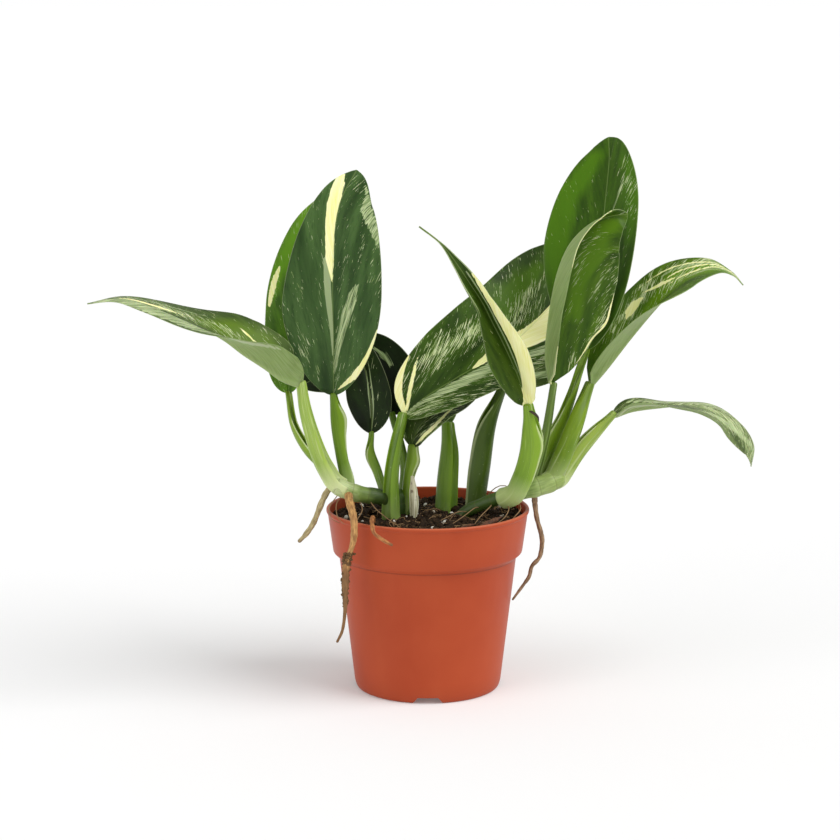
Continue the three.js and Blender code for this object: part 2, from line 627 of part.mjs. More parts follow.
const roots = {
  outer_left: {
    path: [[-55, -24, 126], [-58.6, -23, 122], [-61.7, -21, 115.6], [-64.1, -19, 109.2],
      [-67.2, -18, 101.8], [-71.3, -17, 95.6], [-75.5, -16, 90.9]],
    radii: [1.7, 1.8, 1.8, 1.7, 1.6, 1.5, 1.1], rings: 14,
  },
  long_left: {
    path: [[-46, -26, 122], [-45.5, -34, 119.6], [-43.5, -45, 115.5], [-42.2, -52, 110.6],
      [-42.2, -52.5, 102.5], [-43.7, -51, 95.2], [-46.4, -50, 87.9], [-47.2, -49.5, 79],
      [-47.6, -49, 70], [-47.7, -48, 57.9], [-49.3, -47, 45.8], [-52.5, -46, 38.3]],
    radii: [2.4, 2.4, 2.2, 2, 1.8, 1.6, 2.2, 2, 1.4, 1, 0.9, 0.7], rings: 24,
  },
  short_front: {
    path: [[-31, -37, 100], [-31.3, -38.5, 106], [-31.6, -42, 110.8], [-32, -49, 111.4],
      [-31.8, -57, 110.6], [-30.6, -63, 106.9], [-27.2, -64, 104.1], [-23.8, -64, 101.8],
      [-20.4, -64, 100]],
    radii: [1.2, 1.3, 1.3, 1.3, 1.3, 1.2, 1.1, 1, 0.8], rings: 18,
  },
  right_hanging: {
    path: [[62.5, -13, 117], [63, -9, 111.2], [64.3, -8, 102.6], [66.7, -8, 94.1], [67.4, -8, 88.1],
      [66, -8, 79.6], [61.6, -8, 74.1], [59.9, -9, 68.1], [56.9, -11, 64.1], [50, -14, 55.2]],
    radii: [1.6, 1.6, 1.5, 1.4, 1.3, 1.2, 1.2, 1.1, 0.9, 0.6], rings: 20,
  },
};

// Assembly

const colours = {
  pot: { color: 0xb4552f, roughness: 0.55, metalness: 0 },
  soil: { color: 0x2b1d15, roughness: 1, metalness: 0 },
  stem: { color: 0x3f5a26, roughness: 0.6, metalness: 0 },
  petiole: { color: 0x6f9a3c, roughness: 0.5, metalness: 0 },
  blade: { color: 0x2f5a2a, roughness: 0.35, metalness: 0 },
  root: { color: 0xb08a55, roughness: 0.8, metalness: 0 },
};

const plant = new THREE.Group();

function addPiece(name, geometry, colour) {
  const mesh = new THREE.Mesh(geometry, new THREE.MeshStandardMaterial(colours[colour]));
  mesh.name = name;
  plant.add(mesh);
}

const notches = Array.from({ length: NOTCH.count }, (_, k) => notchGeometry(k));
const drains = Array.from({ length: NOTCH.count }, (_, k) => drainGeometry(k));
addPiece('pot', cutBy(potGeometry(), [...notches, ...drains]), 'pot');

const stemBody = (stem, grow) => roundBody({ sides: 12, rings: 12, ...stem }, grow);
const rootBody = (root, grow) => roundBody({ sides: 7, ...root }, grow);
const allStems = Object.values(stems);

const inSoil = [
  ...allStems.map((stem) => stemBody(stem, GAP)),
  ...[petioles.back_left, petioles.back_right, drySheath].map((piece) => petioleBody(piece, GAP)),
  ...Object.values(roots).map((root) => rootBody(root, GAP)),
];
addPiece('soil', cutBy(soilGeometry(), inSoil), 'soil');

addPiece('stem_left', cutBy(stemBody(stems.left), [stemBody(stems.centre, GAP)]), 'stem');
addPiece('stem_centre', stemBody(stems.centre), 'stem');
addPiece('stem_right', stemBody(stems.right), 'stem');
for (const [name, root] of Object.entries(roots)) {
  addPiece(`root_${name}`, cutBy(rootBody(root), allStems.map((stem) => stemBody(stem, GAP))), 'root');
}
for (const [name, petiole] of Object.entries(petioles)) {
  const cutters = allStems.map((stem) => stemBody(stem, GAP));
  addPiece(`petiole_${name}`, cutBy(petioleBody(petiole), cutters), 'petiole');
}
addPiece('dry_sheath', petioleBody(drySheath), 'root');
for (const [name, leaf] of Object.entries(leaves)) addPiece(`leaf_${name}`, bladeGeometry(leaf), 'blade');

export default plant;
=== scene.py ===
"""A potted variegated monstera standleyana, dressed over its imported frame.

Lengths are in millimetres and turn to metres where a mesh is made.
"""

import math

import bmesh
import bpy
import numpy as np
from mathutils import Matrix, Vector


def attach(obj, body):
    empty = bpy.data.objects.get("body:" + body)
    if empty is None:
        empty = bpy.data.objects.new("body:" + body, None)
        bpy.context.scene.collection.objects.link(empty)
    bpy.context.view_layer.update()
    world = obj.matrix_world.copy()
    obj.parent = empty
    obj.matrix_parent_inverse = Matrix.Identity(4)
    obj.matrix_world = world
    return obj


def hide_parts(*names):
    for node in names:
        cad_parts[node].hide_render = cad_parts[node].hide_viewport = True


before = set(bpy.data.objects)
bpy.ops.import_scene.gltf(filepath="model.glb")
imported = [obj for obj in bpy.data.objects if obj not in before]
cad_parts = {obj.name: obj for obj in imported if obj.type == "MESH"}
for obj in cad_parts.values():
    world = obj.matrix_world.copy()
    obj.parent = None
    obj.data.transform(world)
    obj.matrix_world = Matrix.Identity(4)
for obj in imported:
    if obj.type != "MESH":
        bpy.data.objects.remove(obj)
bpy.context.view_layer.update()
MM = 0.001

# Materials and meshes
# What the sub-parts share: colours, nodes for their materials, and meshes on the frame's body.


def linear(hex_colour):
    """Linear RGBA of an sRGB colour such as "#b4552f"."""
    srgb = np.array([int(hex_colour[i : i + 2], 16) / 255 for i in (1, 3, 5)])
    rgb = np.where(srgb <= 0.04045, srgb / 12.92, ((srgb + 0.055) / 1.055) ** 2.4)
    return (*rgb.tolist(), 1.0)


def connect(tree, node, inputs):
    """Gives each named input of a node a value or another node's output."""
    for key, value in inputs.items():
        if isinstance(value, bpy.types.NodeSocket):
            tree.links.new(value, node.inputs[key])
        else:
            node.inputs[key].default_value = value


def add_node(tree, kind, inputs, **settings):
    """Adds one node with its settings and its inputs."""
    node = tree.nodes.new(kind)
    for key, value in settings.items():
        setattr(node, key, value)
    connect(tree, node, inputs)
    return node


def pattern(tree, space, size, detail):
    """Noise from 0 to 1, with grains of the given size along each axis of the space."""
    scale = tuple(1 / length for length in size)
    stretched = add_node(tree, "ShaderNodeMapping", {"Vector": space, "Scale": scale})
    noise = add_node(tree, "ShaderNodeTexNoise", {
        "Vector": stretched.outputs[0], "Scale": 1.0, "Detail": detail})
    return noise.outputs["Fac"]


def painted(tree, under, colour, value, low=0.0, high=1.0, cover=1.0):
    """A colour laid over another, from none of it at the low value to its full cover at the high one."""
    share = add_node(tree, "ShaderNodeMapRange", {
        "Value": value, "From Min": low, "From Max": high, "To Max": cover})
    mix = add_node(tree, "ShaderNodeMix", {0: share.outputs[0], 6: under, 7: colour}, data_type="RGBA")
    return mix.outputs[2]


def point_value(tree, name, output="Fac"):
    """What a material reads from each point of its mesh."""
    return add_node(tree, "ShaderNodeAttribute", {}, attribute_name=name).outputs[output]


def relief(tree, height, strength, depth):
    """The normal of a surface whose bumps follow the height, with the depth in millimetres."""
    inputs = {"Height": height, "Strength": strength, "Distance": depth * MM}
    return add_node(tree, "ShaderNodeBump", inputs).outputs[0]


def start_material(name):
    """A new material with its node tree and its shader."""
    material = bpy.data.materials.new(name)
    material.use_nodes = True
    tree = material.node_tree
    return material, tree, tree.nodes["Principled BSDF"]


def grid_faces(rows, columns, closed=True):
    """Quads between neighbouring rows and columns; closed joins the last column to the first."""
    i = np.arange(rows - 1)[:, None]
    j = np.arange(columns if closed else columns - 1)[None, :]
    k = (j + 1) % columns
    corners = [i * columns + j, i * columns + k, (i + 1) * columns + k, (i + 1) * columns + j]
    return np.stack(corners, axis=-1).reshape(-1, 4)


def add_piece(name, points, faces, material, replaced=(), merge=False):
    """A smooth closed mesh of points in millimetres that rides on the one body of the frame."""
    mesh = bpy.data.meshes.new(name)
    mesh.from_pydata((np.asarray(points) * MM).tolist(), [], [list(face) for face in faces])
    work = bmesh.new()
    work.from_mesh(mesh)
    if merge:
        bmesh.ops.remove_doubles(work, verts=work.verts, dist=0.002 * MM)
    bmesh.ops.recalc_face_normals(work, faces=work.faces)
    work.to_mesh(mesh)
    work.free()
    mesh.shade_smooth()
    mesh.materials.append(material)
    piece = bpy.data.objects.new(name, mesh)
    bpy.context.scene.collection.objects.link(piece)
    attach(piece, "root")
    if replaced:
        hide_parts(*replaced)
    return piece


# Pot
# A nursery pot moulded in terracotta-coloured polypropylene. Its thin wall is one profile turned
# about the axis, with four notches through the foot ring and four drain holes in the floor.

RIM_RADIUS = 60.0
RIM_HEIGHT = 108.2
SHOULDER_HEIGHT = 79.5
POT_PROFILE = [
    (0, 4), (37.4, 4), (38.4, 0), (41.4, 0), (42.5, 0.6), (43.4, 3), (43.7, 5), (52.5, SHOULDER_HEIGHT),
    (56, 82.4), (59.2, 105.6), (RIM_RADIUS, 106.2), (RIM_RADIUS, RIM_HEIGHT - 0.6), (59.4, RIM_HEIGHT),
    (58.3, RIM_HEIGHT), (57.8, 107.6), (54.8, 83), (51.3, 79.9), (42.2, 5.4), (40.8, 5.2), (0, 5.2),
]
EDGE_ROUNDING = 0.8
LONGEST_STEP = 5.0  # of the wall's mesh
FOOT_RING_INSIDE = 36.0
NOTCH_HALF_WIDTH = 8.8  # on the ground
NOTCH_HEIGHT = 3.8
NOTCH_SIDE_RUN = 0.73  # sideways run of a notch's side for each millimetre of height
DRAIN_RADIUS = 4.5
DRAIN_CIRCLE = 25.0
DRILL_HEIGHT = 4.5  # of its middle, which is inside the floor
DRILL_LENGTH = 6.0
DRAIN_HOLES = 4
TURNS = 480


def rounded_profile(profile, radius, steps=4):
    """Each inner corner becomes a parabola between places up to radius before and after it."""
    p = np.array(profile, float)
    rounded = [p[0]]
    for before, corner, after in zip(p[:-2], p[1:-1], p[2:]):
        back, on = before - corner, after - corner
        back *= min(radius, np.linalg.norm(back) / 2) / np.linalg.norm(back)
        on *= min(radius, np.linalg.norm(on) / 2) / np.linalg.norm(on)
        rounded += [corner + back * (1 - t) ** 2 + on * t**2 for t in np.linspace(0, 1, steps)]
    return np.array([*rounded, p[-1]])


def split_long(profile, longest):
    """The profile with evenly spaced points added, so that no step is longer than the longest."""
    parts = [profile[:1]]
    for start, end in zip(profile[:-1], profile[1:]):
        count = math.ceil(np.linalg.norm(end - start) / longest)
        parts.append(start + (end - start) * (np.arange(1, count + 1) / count)[:, None])
    return np.concatenate(parts)


def turned_wall(profile):
    """Points (r cos t, r sin t, z) of the profile; a notch lifts the foot ring to its own height."""
    angle = np.linspace(0, 2 * math.pi, TURNS, endpoint=False)
    r, z = profile[:, 0, None], profile[:, 1, None]
    from_notch = (angle + math.pi / 4) % (math.pi / 2) - math.pi / 4
    across = np.abs(r * np.sin(from_notch))
    lift = np.clip((NOTCH_HALF_WIDTH - across) / NOTCH_SIDE_RUN, 0, NOTCH_HEIGHT)
    height = np.where(r > FOOT_RING_INSIDE, np.maximum(z, lift), z + 0 * lift)
    return np.stack([r * np.cos(angle), r * np.sin(angle), height], axis=-1).reshape(-1, 3)


# Injection-moulded polypropylene: a satin surface with a fine orange peel, faint flow lines up the
# wall, a little peat dust above the foot, painted shade under the band and a painted highlight on the lip.
pot_plastic, tree, shader = start_material("moulded terracotta polypropylene")
place = add_node(tree, "ShaderNodeTexCoord", {}).outputs["Object"]
height = add_node(tree, "ShaderNodeSeparateXYZ", {"Vector": place}).outputs["Z"]
flow = pattern(tree, place, (11.1 * MM, 11.1 * MM, 111 * MM), 3.0)
cloud = pattern(tree, place, (45.5 * MM,) * 3, 3.0)
peel = pattern(tree, place, (0.714 * MM,) * 3, 2.0)
tone = painted(tree, linear("#a6401f"), linear("#b04a27"), cloud, 0.3, 0.7)
tone = painted(tree, tone, linear("#bd5a35"), flow, 0.5, 0.8, 0.15)
dust = add_node(tree, "ShaderNodeMath", {0: cloud, 1: 0.35}, operation="MULTIPLY")
tone = painted(tree, tone, linear("#7d3b25"), height, 12 * MM, 0.0, dust.outputs[0])
# Painted highlight: a paler band along the top of the lip.
tone = painted(tree, tone, linear("#c97656"), height, (RIM_HEIGHT - 1) * MM, (RIM_HEIGHT - 0.1) * MM, 0.55)
# Painted shade: a dark line in the corner under the band, where its shadow falls.
corner = add_node(tree, "ShaderNodeMath", {
    0: height, 1: (SHOULDER_HEIGHT + 0.1) * MM, 2: 0.5 * MM}, operation="COMPARE")
tone = painted(tree, tone, linear("#6e2c18"), corner.outputs[0], cover=0.45)
sheen = add_node(tree, "ShaderNodeMapRange", {
    "Value": cloud, "From Min": 0.3, "From Max": 0.7, "To Min": 0.38, "To Max": 0.5})
connect(tree, shader, {"Base Color": tone, "Roughness": sheen.outputs[0], "Specular IOR Level": 0.2,
                       "Normal": relief(tree, peel, 0.15, 0.2)})

pot_profile = split_long(rounded_profile(POT_PROFILE, EDGE_ROUNDING), LONGEST_STEP)
pot = add_piece("pot_wall", turned_wall(pot_profile), grid_faces(len(pot_profile), TURNS), pot_plastic,
                ["pot"], merge=True)

drill = bmesh.new()
for k in range(DRAIN_HOLES):
    hole = bmesh.ops.create_cone(drill, segments=48, radius1=DRAIN_RADIUS * MM, radius2=DRAIN_RADIUS * MM,
                                 depth=DRILL_LENGTH * MM, cap_ends=True)["verts"]
    turn = 2 * math.pi * (k + 0.5) / DRAIN_HOLES
    middle = Vector((DRAIN_CIRCLE * math.cos(turn), DRAIN_CIRCLE * math.sin(turn), DRILL_HEIGHT))
    bmesh.ops.translate(drill, verts=hole, vec=middle * MM)
drill_mesh = bpy.data.meshes.new("drain_drill")
drill.to_mesh(drill_mesh)
drill.free()
drill_object = bpy.data.objects.new("drain_drill", drill_mesh)
bpy.context.scene.collection.objects.link(drill_object)
cut = pot.modifiers.new("drain holes", "BOOLEAN")
cut.object = drill_object
cut.operation = "DIFFERENCE"
cut.solver = "EXACT"
bored = bpy.data.meshes.new_from_object(pot.evaluated_get(bpy.context.evaluated_depsgraph_get()))
pot.modifiers.clear()
pot.data = bored
bpy.data.objects.remove(drill_object)

# Soil
# Peat potting mix, pressed in by hand to a few millimetres below the rim. One plug carries loose
# crumbs and clods and white perlite grains; the bark and the rootlets come with the roots.

SOIL_TOP = 104.5
SOIL_EDGE = 56.2
# The plug's underside and side, as radius and height, up to where it leaves the wall.
SOIL_SIDE = [(0, 5.6), (20, 5.6), (39.5, 5.6), (41.4, 8), (51, SHOULDER_HEIGHT), (54.2, 84)]
CRUMBS = 3000
CLODS = 220
PERLITE_GRAINS = 70
FRONT_GRAINS = 9  # perlite that lies together at the front
LATTICE = 64  # steps before the noise repeats
rng = np.random.default_rng(7)
lattice = rng.random((LATTICE, LATTICE))


def smooth_noise(x, y, size):
    """Random values on a square lattice of the given size, blended smoothly between its corners."""
    u, v = x / size, y / size
    i, j = np.floor(u).astype(int), np.floor(v).astype(int)
    s, t = u - i, v - j
    s, t = s * s * (3 - 2 * s), t * t * (3 - 2 * t)
    i, j, k, m = i % LATTICE, j % LATTICE, (i + 1) % LATTICE, (j + 1) % LATTICE
    near = lattice[i, j] * (1 - s) + lattice[k, j] * s
    far = lattice[i, m] * (1 - s) + lattice[k, m] * s
    return near * (1 - t) + far * t - 0.5


def soil_height(x, y):
    """Waves of 1 to 2 mm over a low dome, as the frame's soil has them, with finer lumps on top."""
    lumps = (np.sin(0.21 * x + 1.3) * np.cos(0.17 * y + 0.4) + 0.7 * np.sin(0.43 * x - 0.35 * y)
             + 0.5 * np.cos(0.61 * x + 0.52 * y + 2.1))
    dome = SOIL_TOP + 1.1 * lumps - 0.025 * y - 0.0006 * (x**2 + y**2)
    return dome + 2.2 * smooth_noise(x, y, 4.5) + 1.0 * smooth_noise(x + 90, y, 1.7)


# Damp sphagnum peat: nearly black-brown fibre crumbs, matt, with paler dry fibres. The grain is
# drawn at about 1 mm, coarser than real peat, to show.
peat, tree, shader = start_material("damp peat mix")
place = add_node(tree, "ShaderNodeTexCoord", {}).outputs["Object"]
grain = add_node(tree, "ShaderNodeTexNoise", {
    "Vector": place, "Scale": 1 / (1.11 * MM), "Detail": 4.0, "Roughness": 0.7}).outputs["Fac"]
clumps = pattern(tree, place, (6.25 * MM,) * 3, 3.0)
fibres = add_node(tree, "ShaderNodeTexVoronoi", {"Vector": place, "Scale": 1 / (1.92 * MM)})
tone = painted(tree, linear("#100b06"), linear("#2b1e12"), grain, 0.3, 0.52)
tone = painted(tree, tone, linear("#60462c"), grain, 0.52, 0.75)
tone = painted(tree, tone, linear("#4d3924"), clumps, 0.56, 0.7, 0.45)
connect(tree, shader, {
    "Base Color": tone, "Roughness": 0.9, "Specular IOR Level": 0.2,
    "Normal": relief(tree, fibres.outputs["Distance"], 0.6, 0.8)})

side_radii, side_heights = np.array(SOIL_SIDE).T
soil_radii = np.concatenate([side_radii, SOIL_EDGE * (1 - np.linspace(0, 1, 90) ** 1.1)])
soil_angles = np.linspace(0, 2 * math.pi, 360, endpoint=False)
x = soil_radii[:, None] * np.cos(soil_angles)
y = soil_radii[:, None] * np.sin(soil_angles)
z = soil_height(x, y)
z[: len(side_heights)] = side_heights[:, None]
soil_points = np.stack([x, y, z], axis=-1).reshape(-1, 3)
soil_faces = grid_faces(len(soil_radii), len(soil_angles))
add_piece("soil_plug", soil_points, soil_faces, peat, ["soil"], merge=True)


def lump(level):
    """Points and faces of a unit ball of triangles, split level times."""
    work = bmesh.new()
    bmesh.ops.create_icosphere(work, subdivisions=level, radius=1)
    points = np.array([v.co for v in work.verts])
    faces = np.array([[v.index for v in f.verts] for f in work.faces])
    work.free()
    return points, faces


def scattered(level, places, radii, squash, roughness):
    """Copies of a lump at the places, each turned, flattened and dented in its own way."""
    ball, faces = lump(level)
    count = len(places)
    axes = np.linalg.qr(rng.normal(size=(count, 3, 3)))[0]
    dents = 1 + roughness * (rng.random((count, len(ball), 1)) - 0.5)
    sizes = 1 + squash * (rng.random((count, 1, 3)) - 0.5)
    shaped = (ball[None] * dents * sizes) @ axes * radii[:, None, None]
    points = (shaped + places[:, None]).reshape(-1, 3)
    return points, (faces[None] + len(ball) * np.arange(count)[:, None, None]).reshape(-1, 3)


def places_on_soil(count, edge):
    """Random places on the soil's surface, inside a circle with the edge as its radius."""
    r, t = edge * np.sqrt(rng.random(count)), 2 * math.pi * rng.random(count)
    x, y = r * np.cos(t), r * np.sin(t)
    return np.stack([x, y, soil_height(x, y)], axis=-1)


crumb_radii = 0.45 + 1.5 * rng.random(CRUMBS) ** 3
crumb_places = places_on_soil(CRUMBS, 55.0)
crumb_places[:, 2] += 0.2 * crumb_radii
points, faces = scattered(1, crumb_places, crumb_radii, squash=0.7, roughness=0.5)
add_piece("soil_crumbs", points, faces, peat)
clod_radii = 1.4 + 1.4 * rng.random(CLODS)
clod_places = places_on_soil(CLODS, 53.0)
points, faces = scattered(2, clod_places, clod_radii, squash=0.8, roughness=0.45)
add_piece("soil_clods", points, faces, peat)

# Perlite: puffed volcanic glass, chalk white and dull, with a few grains stained by the peat.
perlite, tree, shader = start_material("white perlite")
place = add_node(tree, "ShaderNodeTexCoord", {}).outputs["Object"]
pores = pattern(tree, place, (0.667 * MM,) * 3, 3.0)
stain = pattern(tree, place, (4.17 * MM,) * 3, 2.0)
tone = painted(tree, linear("#e9e4d8"), linear("#a8957a"), stain, 0.5, 0.72)
connect(tree, shader, {"Base Color": tone, "Roughness": 0.85, "Normal": relief(tree, pores, 0.6, 0.4)})

grain_places = places_on_soil(PERLITE_GRAINS, 52.0)
grain_places[:FRONT_GRAINS, 0] = 2 + 13 * rng.random(FRONT_GRAINS)
grain_places[:FRONT_GRAINS, 1] = -52 + 9 * rng.random(FRONT_GRAINS)
grain_places[:, 2] = soil_height(grain_places[:, 0], grain_places[:, 1]) + 0.5
grain_radii = 0.6 + 1.1 * rng.random(PERLITE_GRAINS) ** 2
points, faces = scattered(2, grain_places, grain_radii, squash=0.6, roughness=0.35)
add_piece("perlite_grains", points, faces, perlite)

# Stems
# Three short climbing rhizomes: green and round, with ring scars where old leaves sat. One
# stands in the soil and the other two lean out over the rim.

STEMS = {
    "left": ([(-19, -14, 112), (-27, -19.5, 118), (-36, -22.5, 120), (-45, -24.5, 122.5), (-54, -25, 126.5)],
             [5, 4.8, 4.8, 5.2, 4.8]),
    "centre": ([(-17, -12, 94), (-17, -12, 108), (-17, -12, 118)], [6.5, 6.5, 5.6]),
    "right": ([(15, -10, 96), (21, -12, 106.5), (31, -14, 112.3), (42, -16, 117), (54, -17, 121.3),
               (65.5, -15, 124), (77, -11, 127.5)], [3.6, 3.7, 3.8, 4.4, 5.4, 6, 5.4]),
}
NODE_SPACING = 9.5
DOME_REACH = 0.6  # of the end's radius, past the last point


def cubic(a, b, leaving, arriving, f):
    """The cubic from a to b at the share f of the way, with the given slopes at its two ends."""
    return (a * (2 * f**3 - 3 * f**2 + 1) + leaving * (f**3 - 2 * f**2 + f) + b * (3 * f**2 - 2 * f**3)
            + arriving * (f**3 - f**2))


def walk(points, shares):
    """Places, directions and length of a smooth curve, at shares of its length.

    Between two points it is the cubic whose slope at each is half the step between its neighbours.
    """
    p = np.asarray(points, float)
    p = np.vstack([2 * p[0] - p[1], p, 2 * p[-1] - p[-2]])
    spans = len(p) - 3

    def at_turn(t):
        k = np.minimum(t.astype(int), spans - 1)
        f = (t - k)[:, None]
        before, a, b, after = p[k], p[k + 1], p[k + 2], p[k + 3]
        m, n = (b - before) / 2, (after - a) / 2
        slope = (b - a) * (6 * f - 6 * f**2) + m * (3 * f**2 - 4 * f + 1) + n * (3 * f**2 - 2 * f)
        return cubic(a, b, m, n, f), slope

    t = np.linspace(0, spans, 60 * spans + 1)
    steps = np.linalg.norm(np.diff(at_turn(t)[0], axis=0), axis=1)
    travelled = np.concatenate([[0], np.cumsum(steps)])
    at, slope = at_turn(np.interp(shares * travelled[-1], travelled, t))
    return at, slope / np.linalg.norm(slope, axis=1, keepdims=True), travelled[-1]


def along(values, shares):
    """Evenly spaced values joined by cubics, one-sided at both ends, read at the shares."""
    v = np.asarray(values, float)
    last = len(v) - 1
    k = np.minimum((shares * last).astype(int), last - 1)
    f = (shares * last - k).reshape(-1, *[1] * (v.ndim - 1))
    before, a, b, after = v[np.maximum(k - 1, 0)], v[k], v[k + 1], v[np.minimum(k + 2, last)]
    return cubic(a, b, (b - before) / 2, (after - a) / 2, f)


def framed_walk(points, face, shares):
    """Walk with the face direction squared to the path, and the sideways direction of both."""
    at, tangent, length = walk(points, shares)
    normal = along(face, shares)
    normal = normal - tangent * np.sum(normal * tangent, axis=1, keepdims=True)
    normal /= np.linalg.norm(normal, axis=1, keepdims=True)
    return at, tangent, normal, np.cross(tangent, normal), length


def capped_tube(at, side, normal, section):
    """Points and faces of a closed tube; section holds the sideways and faceward offsets of each ring."""
    rings = at[:, None] + side[:, None] * section[..., :1] + normal[:, None] * section[..., 1:]
    rows, columns = section.shape[:2]
    points = np.concatenate([rings.reshape(-1, 3), [rings[0].mean(0)], [rings[-1].mean(0)]])
    j = np.arange(columns)
    k = (j + 1) % columns
    first, final = rows * columns, rows * columns + 1
    start = np.stack([np.full(columns, first), k, j], axis=-1)
    end = np.stack([np.full(columns, final), (rows - 1) * columns + j, (rows - 1) * columns + k], axis=-1)
    return points, [*grid_faces(rows, columns).tolist(), *start.tolist(), *end.tolist()]


def set_attribute(piece, name, kind, values):
    """Gives every point of a piece its own number or vector."""
    field = "vector" if kind == "FLOAT_VECTOR" else "value"
    piece.data.attributes.new(name, kind, "POINT").data.foreach_set(field, np.asarray(values, float).ravel())


def round_tube(points, radii, rings, sides, bumps):
    """Round body along a path, with domed ends; bumps(share, length) scales its radius.

    Also returns the surface map of each point: (distance round, distance along, share of the length).
    """
    p = np.asarray(points, float)
    first, final = p[0] - p[1], p[-1] - p[-2]
    p[0] += DOME_REACH * radii[0] * first / np.linalg.norm(first)
    p[-1] += DOME_REACH * radii[-1] * final / np.linalg.norm(final)
    turn = np.linspace(0, 1, rings)
    s = (1.5 * turn + (1 - np.cos(math.pi * turn)) / 2) / 2.5
    at, _, normal, side, length = framed_walk(p, [(0.1, -1, 0.3), (0.1, -1, 0.3)], s)
    radius = along(radii, s) * bumps(s, length)
    for gap, end in ((s * length, radii[0]), ((1 - s) * length, radii[-1])):
        radius = radius * np.sqrt(1 - (1 - np.clip(gap / end, 0.02, 1)) ** 2)
    t = np.linspace(0, 2 * math.pi, sides, endpoint=False)
    section = radius[:, None, None] * np.stack([np.cos(t), np.sin(t)], axis=-1)
    body, faces = capped_tube(at, side, normal, section)
    mapped = np.stack(np.broadcast_arrays(np.mean(radii) * t, length * s[:, None], s[:, None]), axis=-1)
    mapped = np.concatenate([mapped.reshape(-1, 3), mapped[0, :1], mapped[-1, :1]])
    return body, faces, mapped


def node_rings(s, length):
    """A stem swells by a few hundredths and pinches faintly at each old leaf scar."""
    phase = (s * length / NODE_SPACING) % 1
    return 1 + 0.03 * np.sin(2 * math.pi * phase) - 0.03 * np.exp(-(((phase - 0.5) / 0.05) ** 2))


def summed(tree, start, *terms):
    """The start with each term's value times its weight added to it."""
    total = start
    for value, weight in terms:
        total = add_node(tree, "ShaderNodeMath", {0: value, 1: weight, 2: total}, operation="MULTIPLY_ADD")
        total = total.outputs[0]
    return total


# Living rhizome skin: waxy and green with faint lengthwise fibres and thin ring scars. It is
# dark at the older end and pale whitish green where the youngest stalks leave it.
SKIN_TONES = {
    "left": [(0.0, "#2f3f14"), (0.42, "#3d5220"), (0.62, "#7c9447"), (0.78, "#b9c78a"), (1.0, "#c3cf98")],
    "centre": [(0.0, "#33461a"), (1.0, "#44601f")],
    "right": [(0.0, "#33441a"), (0.45, "#41591f"), (0.62, "#6b863a"), (0.8, "#9cb068"), (1.0, "#8fa453")],
}
# Watery green flesh under the skin, which lets a little light through.
LIVING_FLESH = {
    "Subsurface Weight": 0.1, "Subsurface Radius": (0.5, 1.0, 0.15), "Subsurface Scale": 2 * MM}


def rhizome_skin(name, tones):
    """Skin whose tone follows the share of the stem's length, with a thin brown ring at each node."""
    material, tree, shader = start_material(name)
    surface = point_value(tree, "surface_map", "Vector")
    parts = add_node(tree, "ShaderNodeSeparateXYZ", {"Vector": surface})
    fibre = pattern(tree, surface, (0.77, 8.33, 1), 4.0)
    blotch = pattern(tree, surface, (4.55, 4.55, 4.55), 3.0)
    share = summed(tree, -0.15, (blotch, 0.3), (parts.outputs["Z"], 1.0))
    tone = linear(tones[0][1])
    for (low, _), (high, colour) in zip(tones[:-1], tones[1:]):
        tone = painted(tree, tone, linear(colour), share, low, high)
    tone = painted(tree, tone, linear("#2c3d12"), fibre, 0.62, 0.36, 0.25)
    nodes_passed = summed(tree, 0.0, (parts.outputs["Y"], 1 / NODE_SPACING))
    phase = add_node(tree, "ShaderNodeMath", {0: nodes_passed}, operation="FRACT")
    ring = add_node(tree, "ShaderNodeMath", {0: phase.outputs[0], 1: 0.5, 2: 0.03}, operation="COMPARE")
    tone = painted(tree, tone, linear("#5d5a2c"), ring.outputs[0], cover=0.35)
    connect(tree, shader, {**LIVING_FLESH, "Base Color": tone, "Roughness": 0.42, "Specular IOR Level": 0.3,
                           "Normal": relief(tree, fibre, 0.3, 0.3)})
    return material


for name, (path, radii) in STEMS.items():
    points, faces, mapped = round_tube(path, radii, rings=90, sides=40, bumps=node_rings)
    skin_material = rhizome_skin(f"green rhizome skin {name}", SKIN_TONES[name])
    stem = add_piece(f"rhizome_{name}", points, faces, skin_material, [f"stem_{name}"])
    set_attribute(stem, "surface_map", "FLOAT_VECTOR", mapped)

# Aerial roots
# Four cord-thick roots that grow from the rhizomes and hang over the rim: cream when young, then
# tan, corky and knobbly, and brown at the tips. Rootlets, bark and clinging peat come with them.

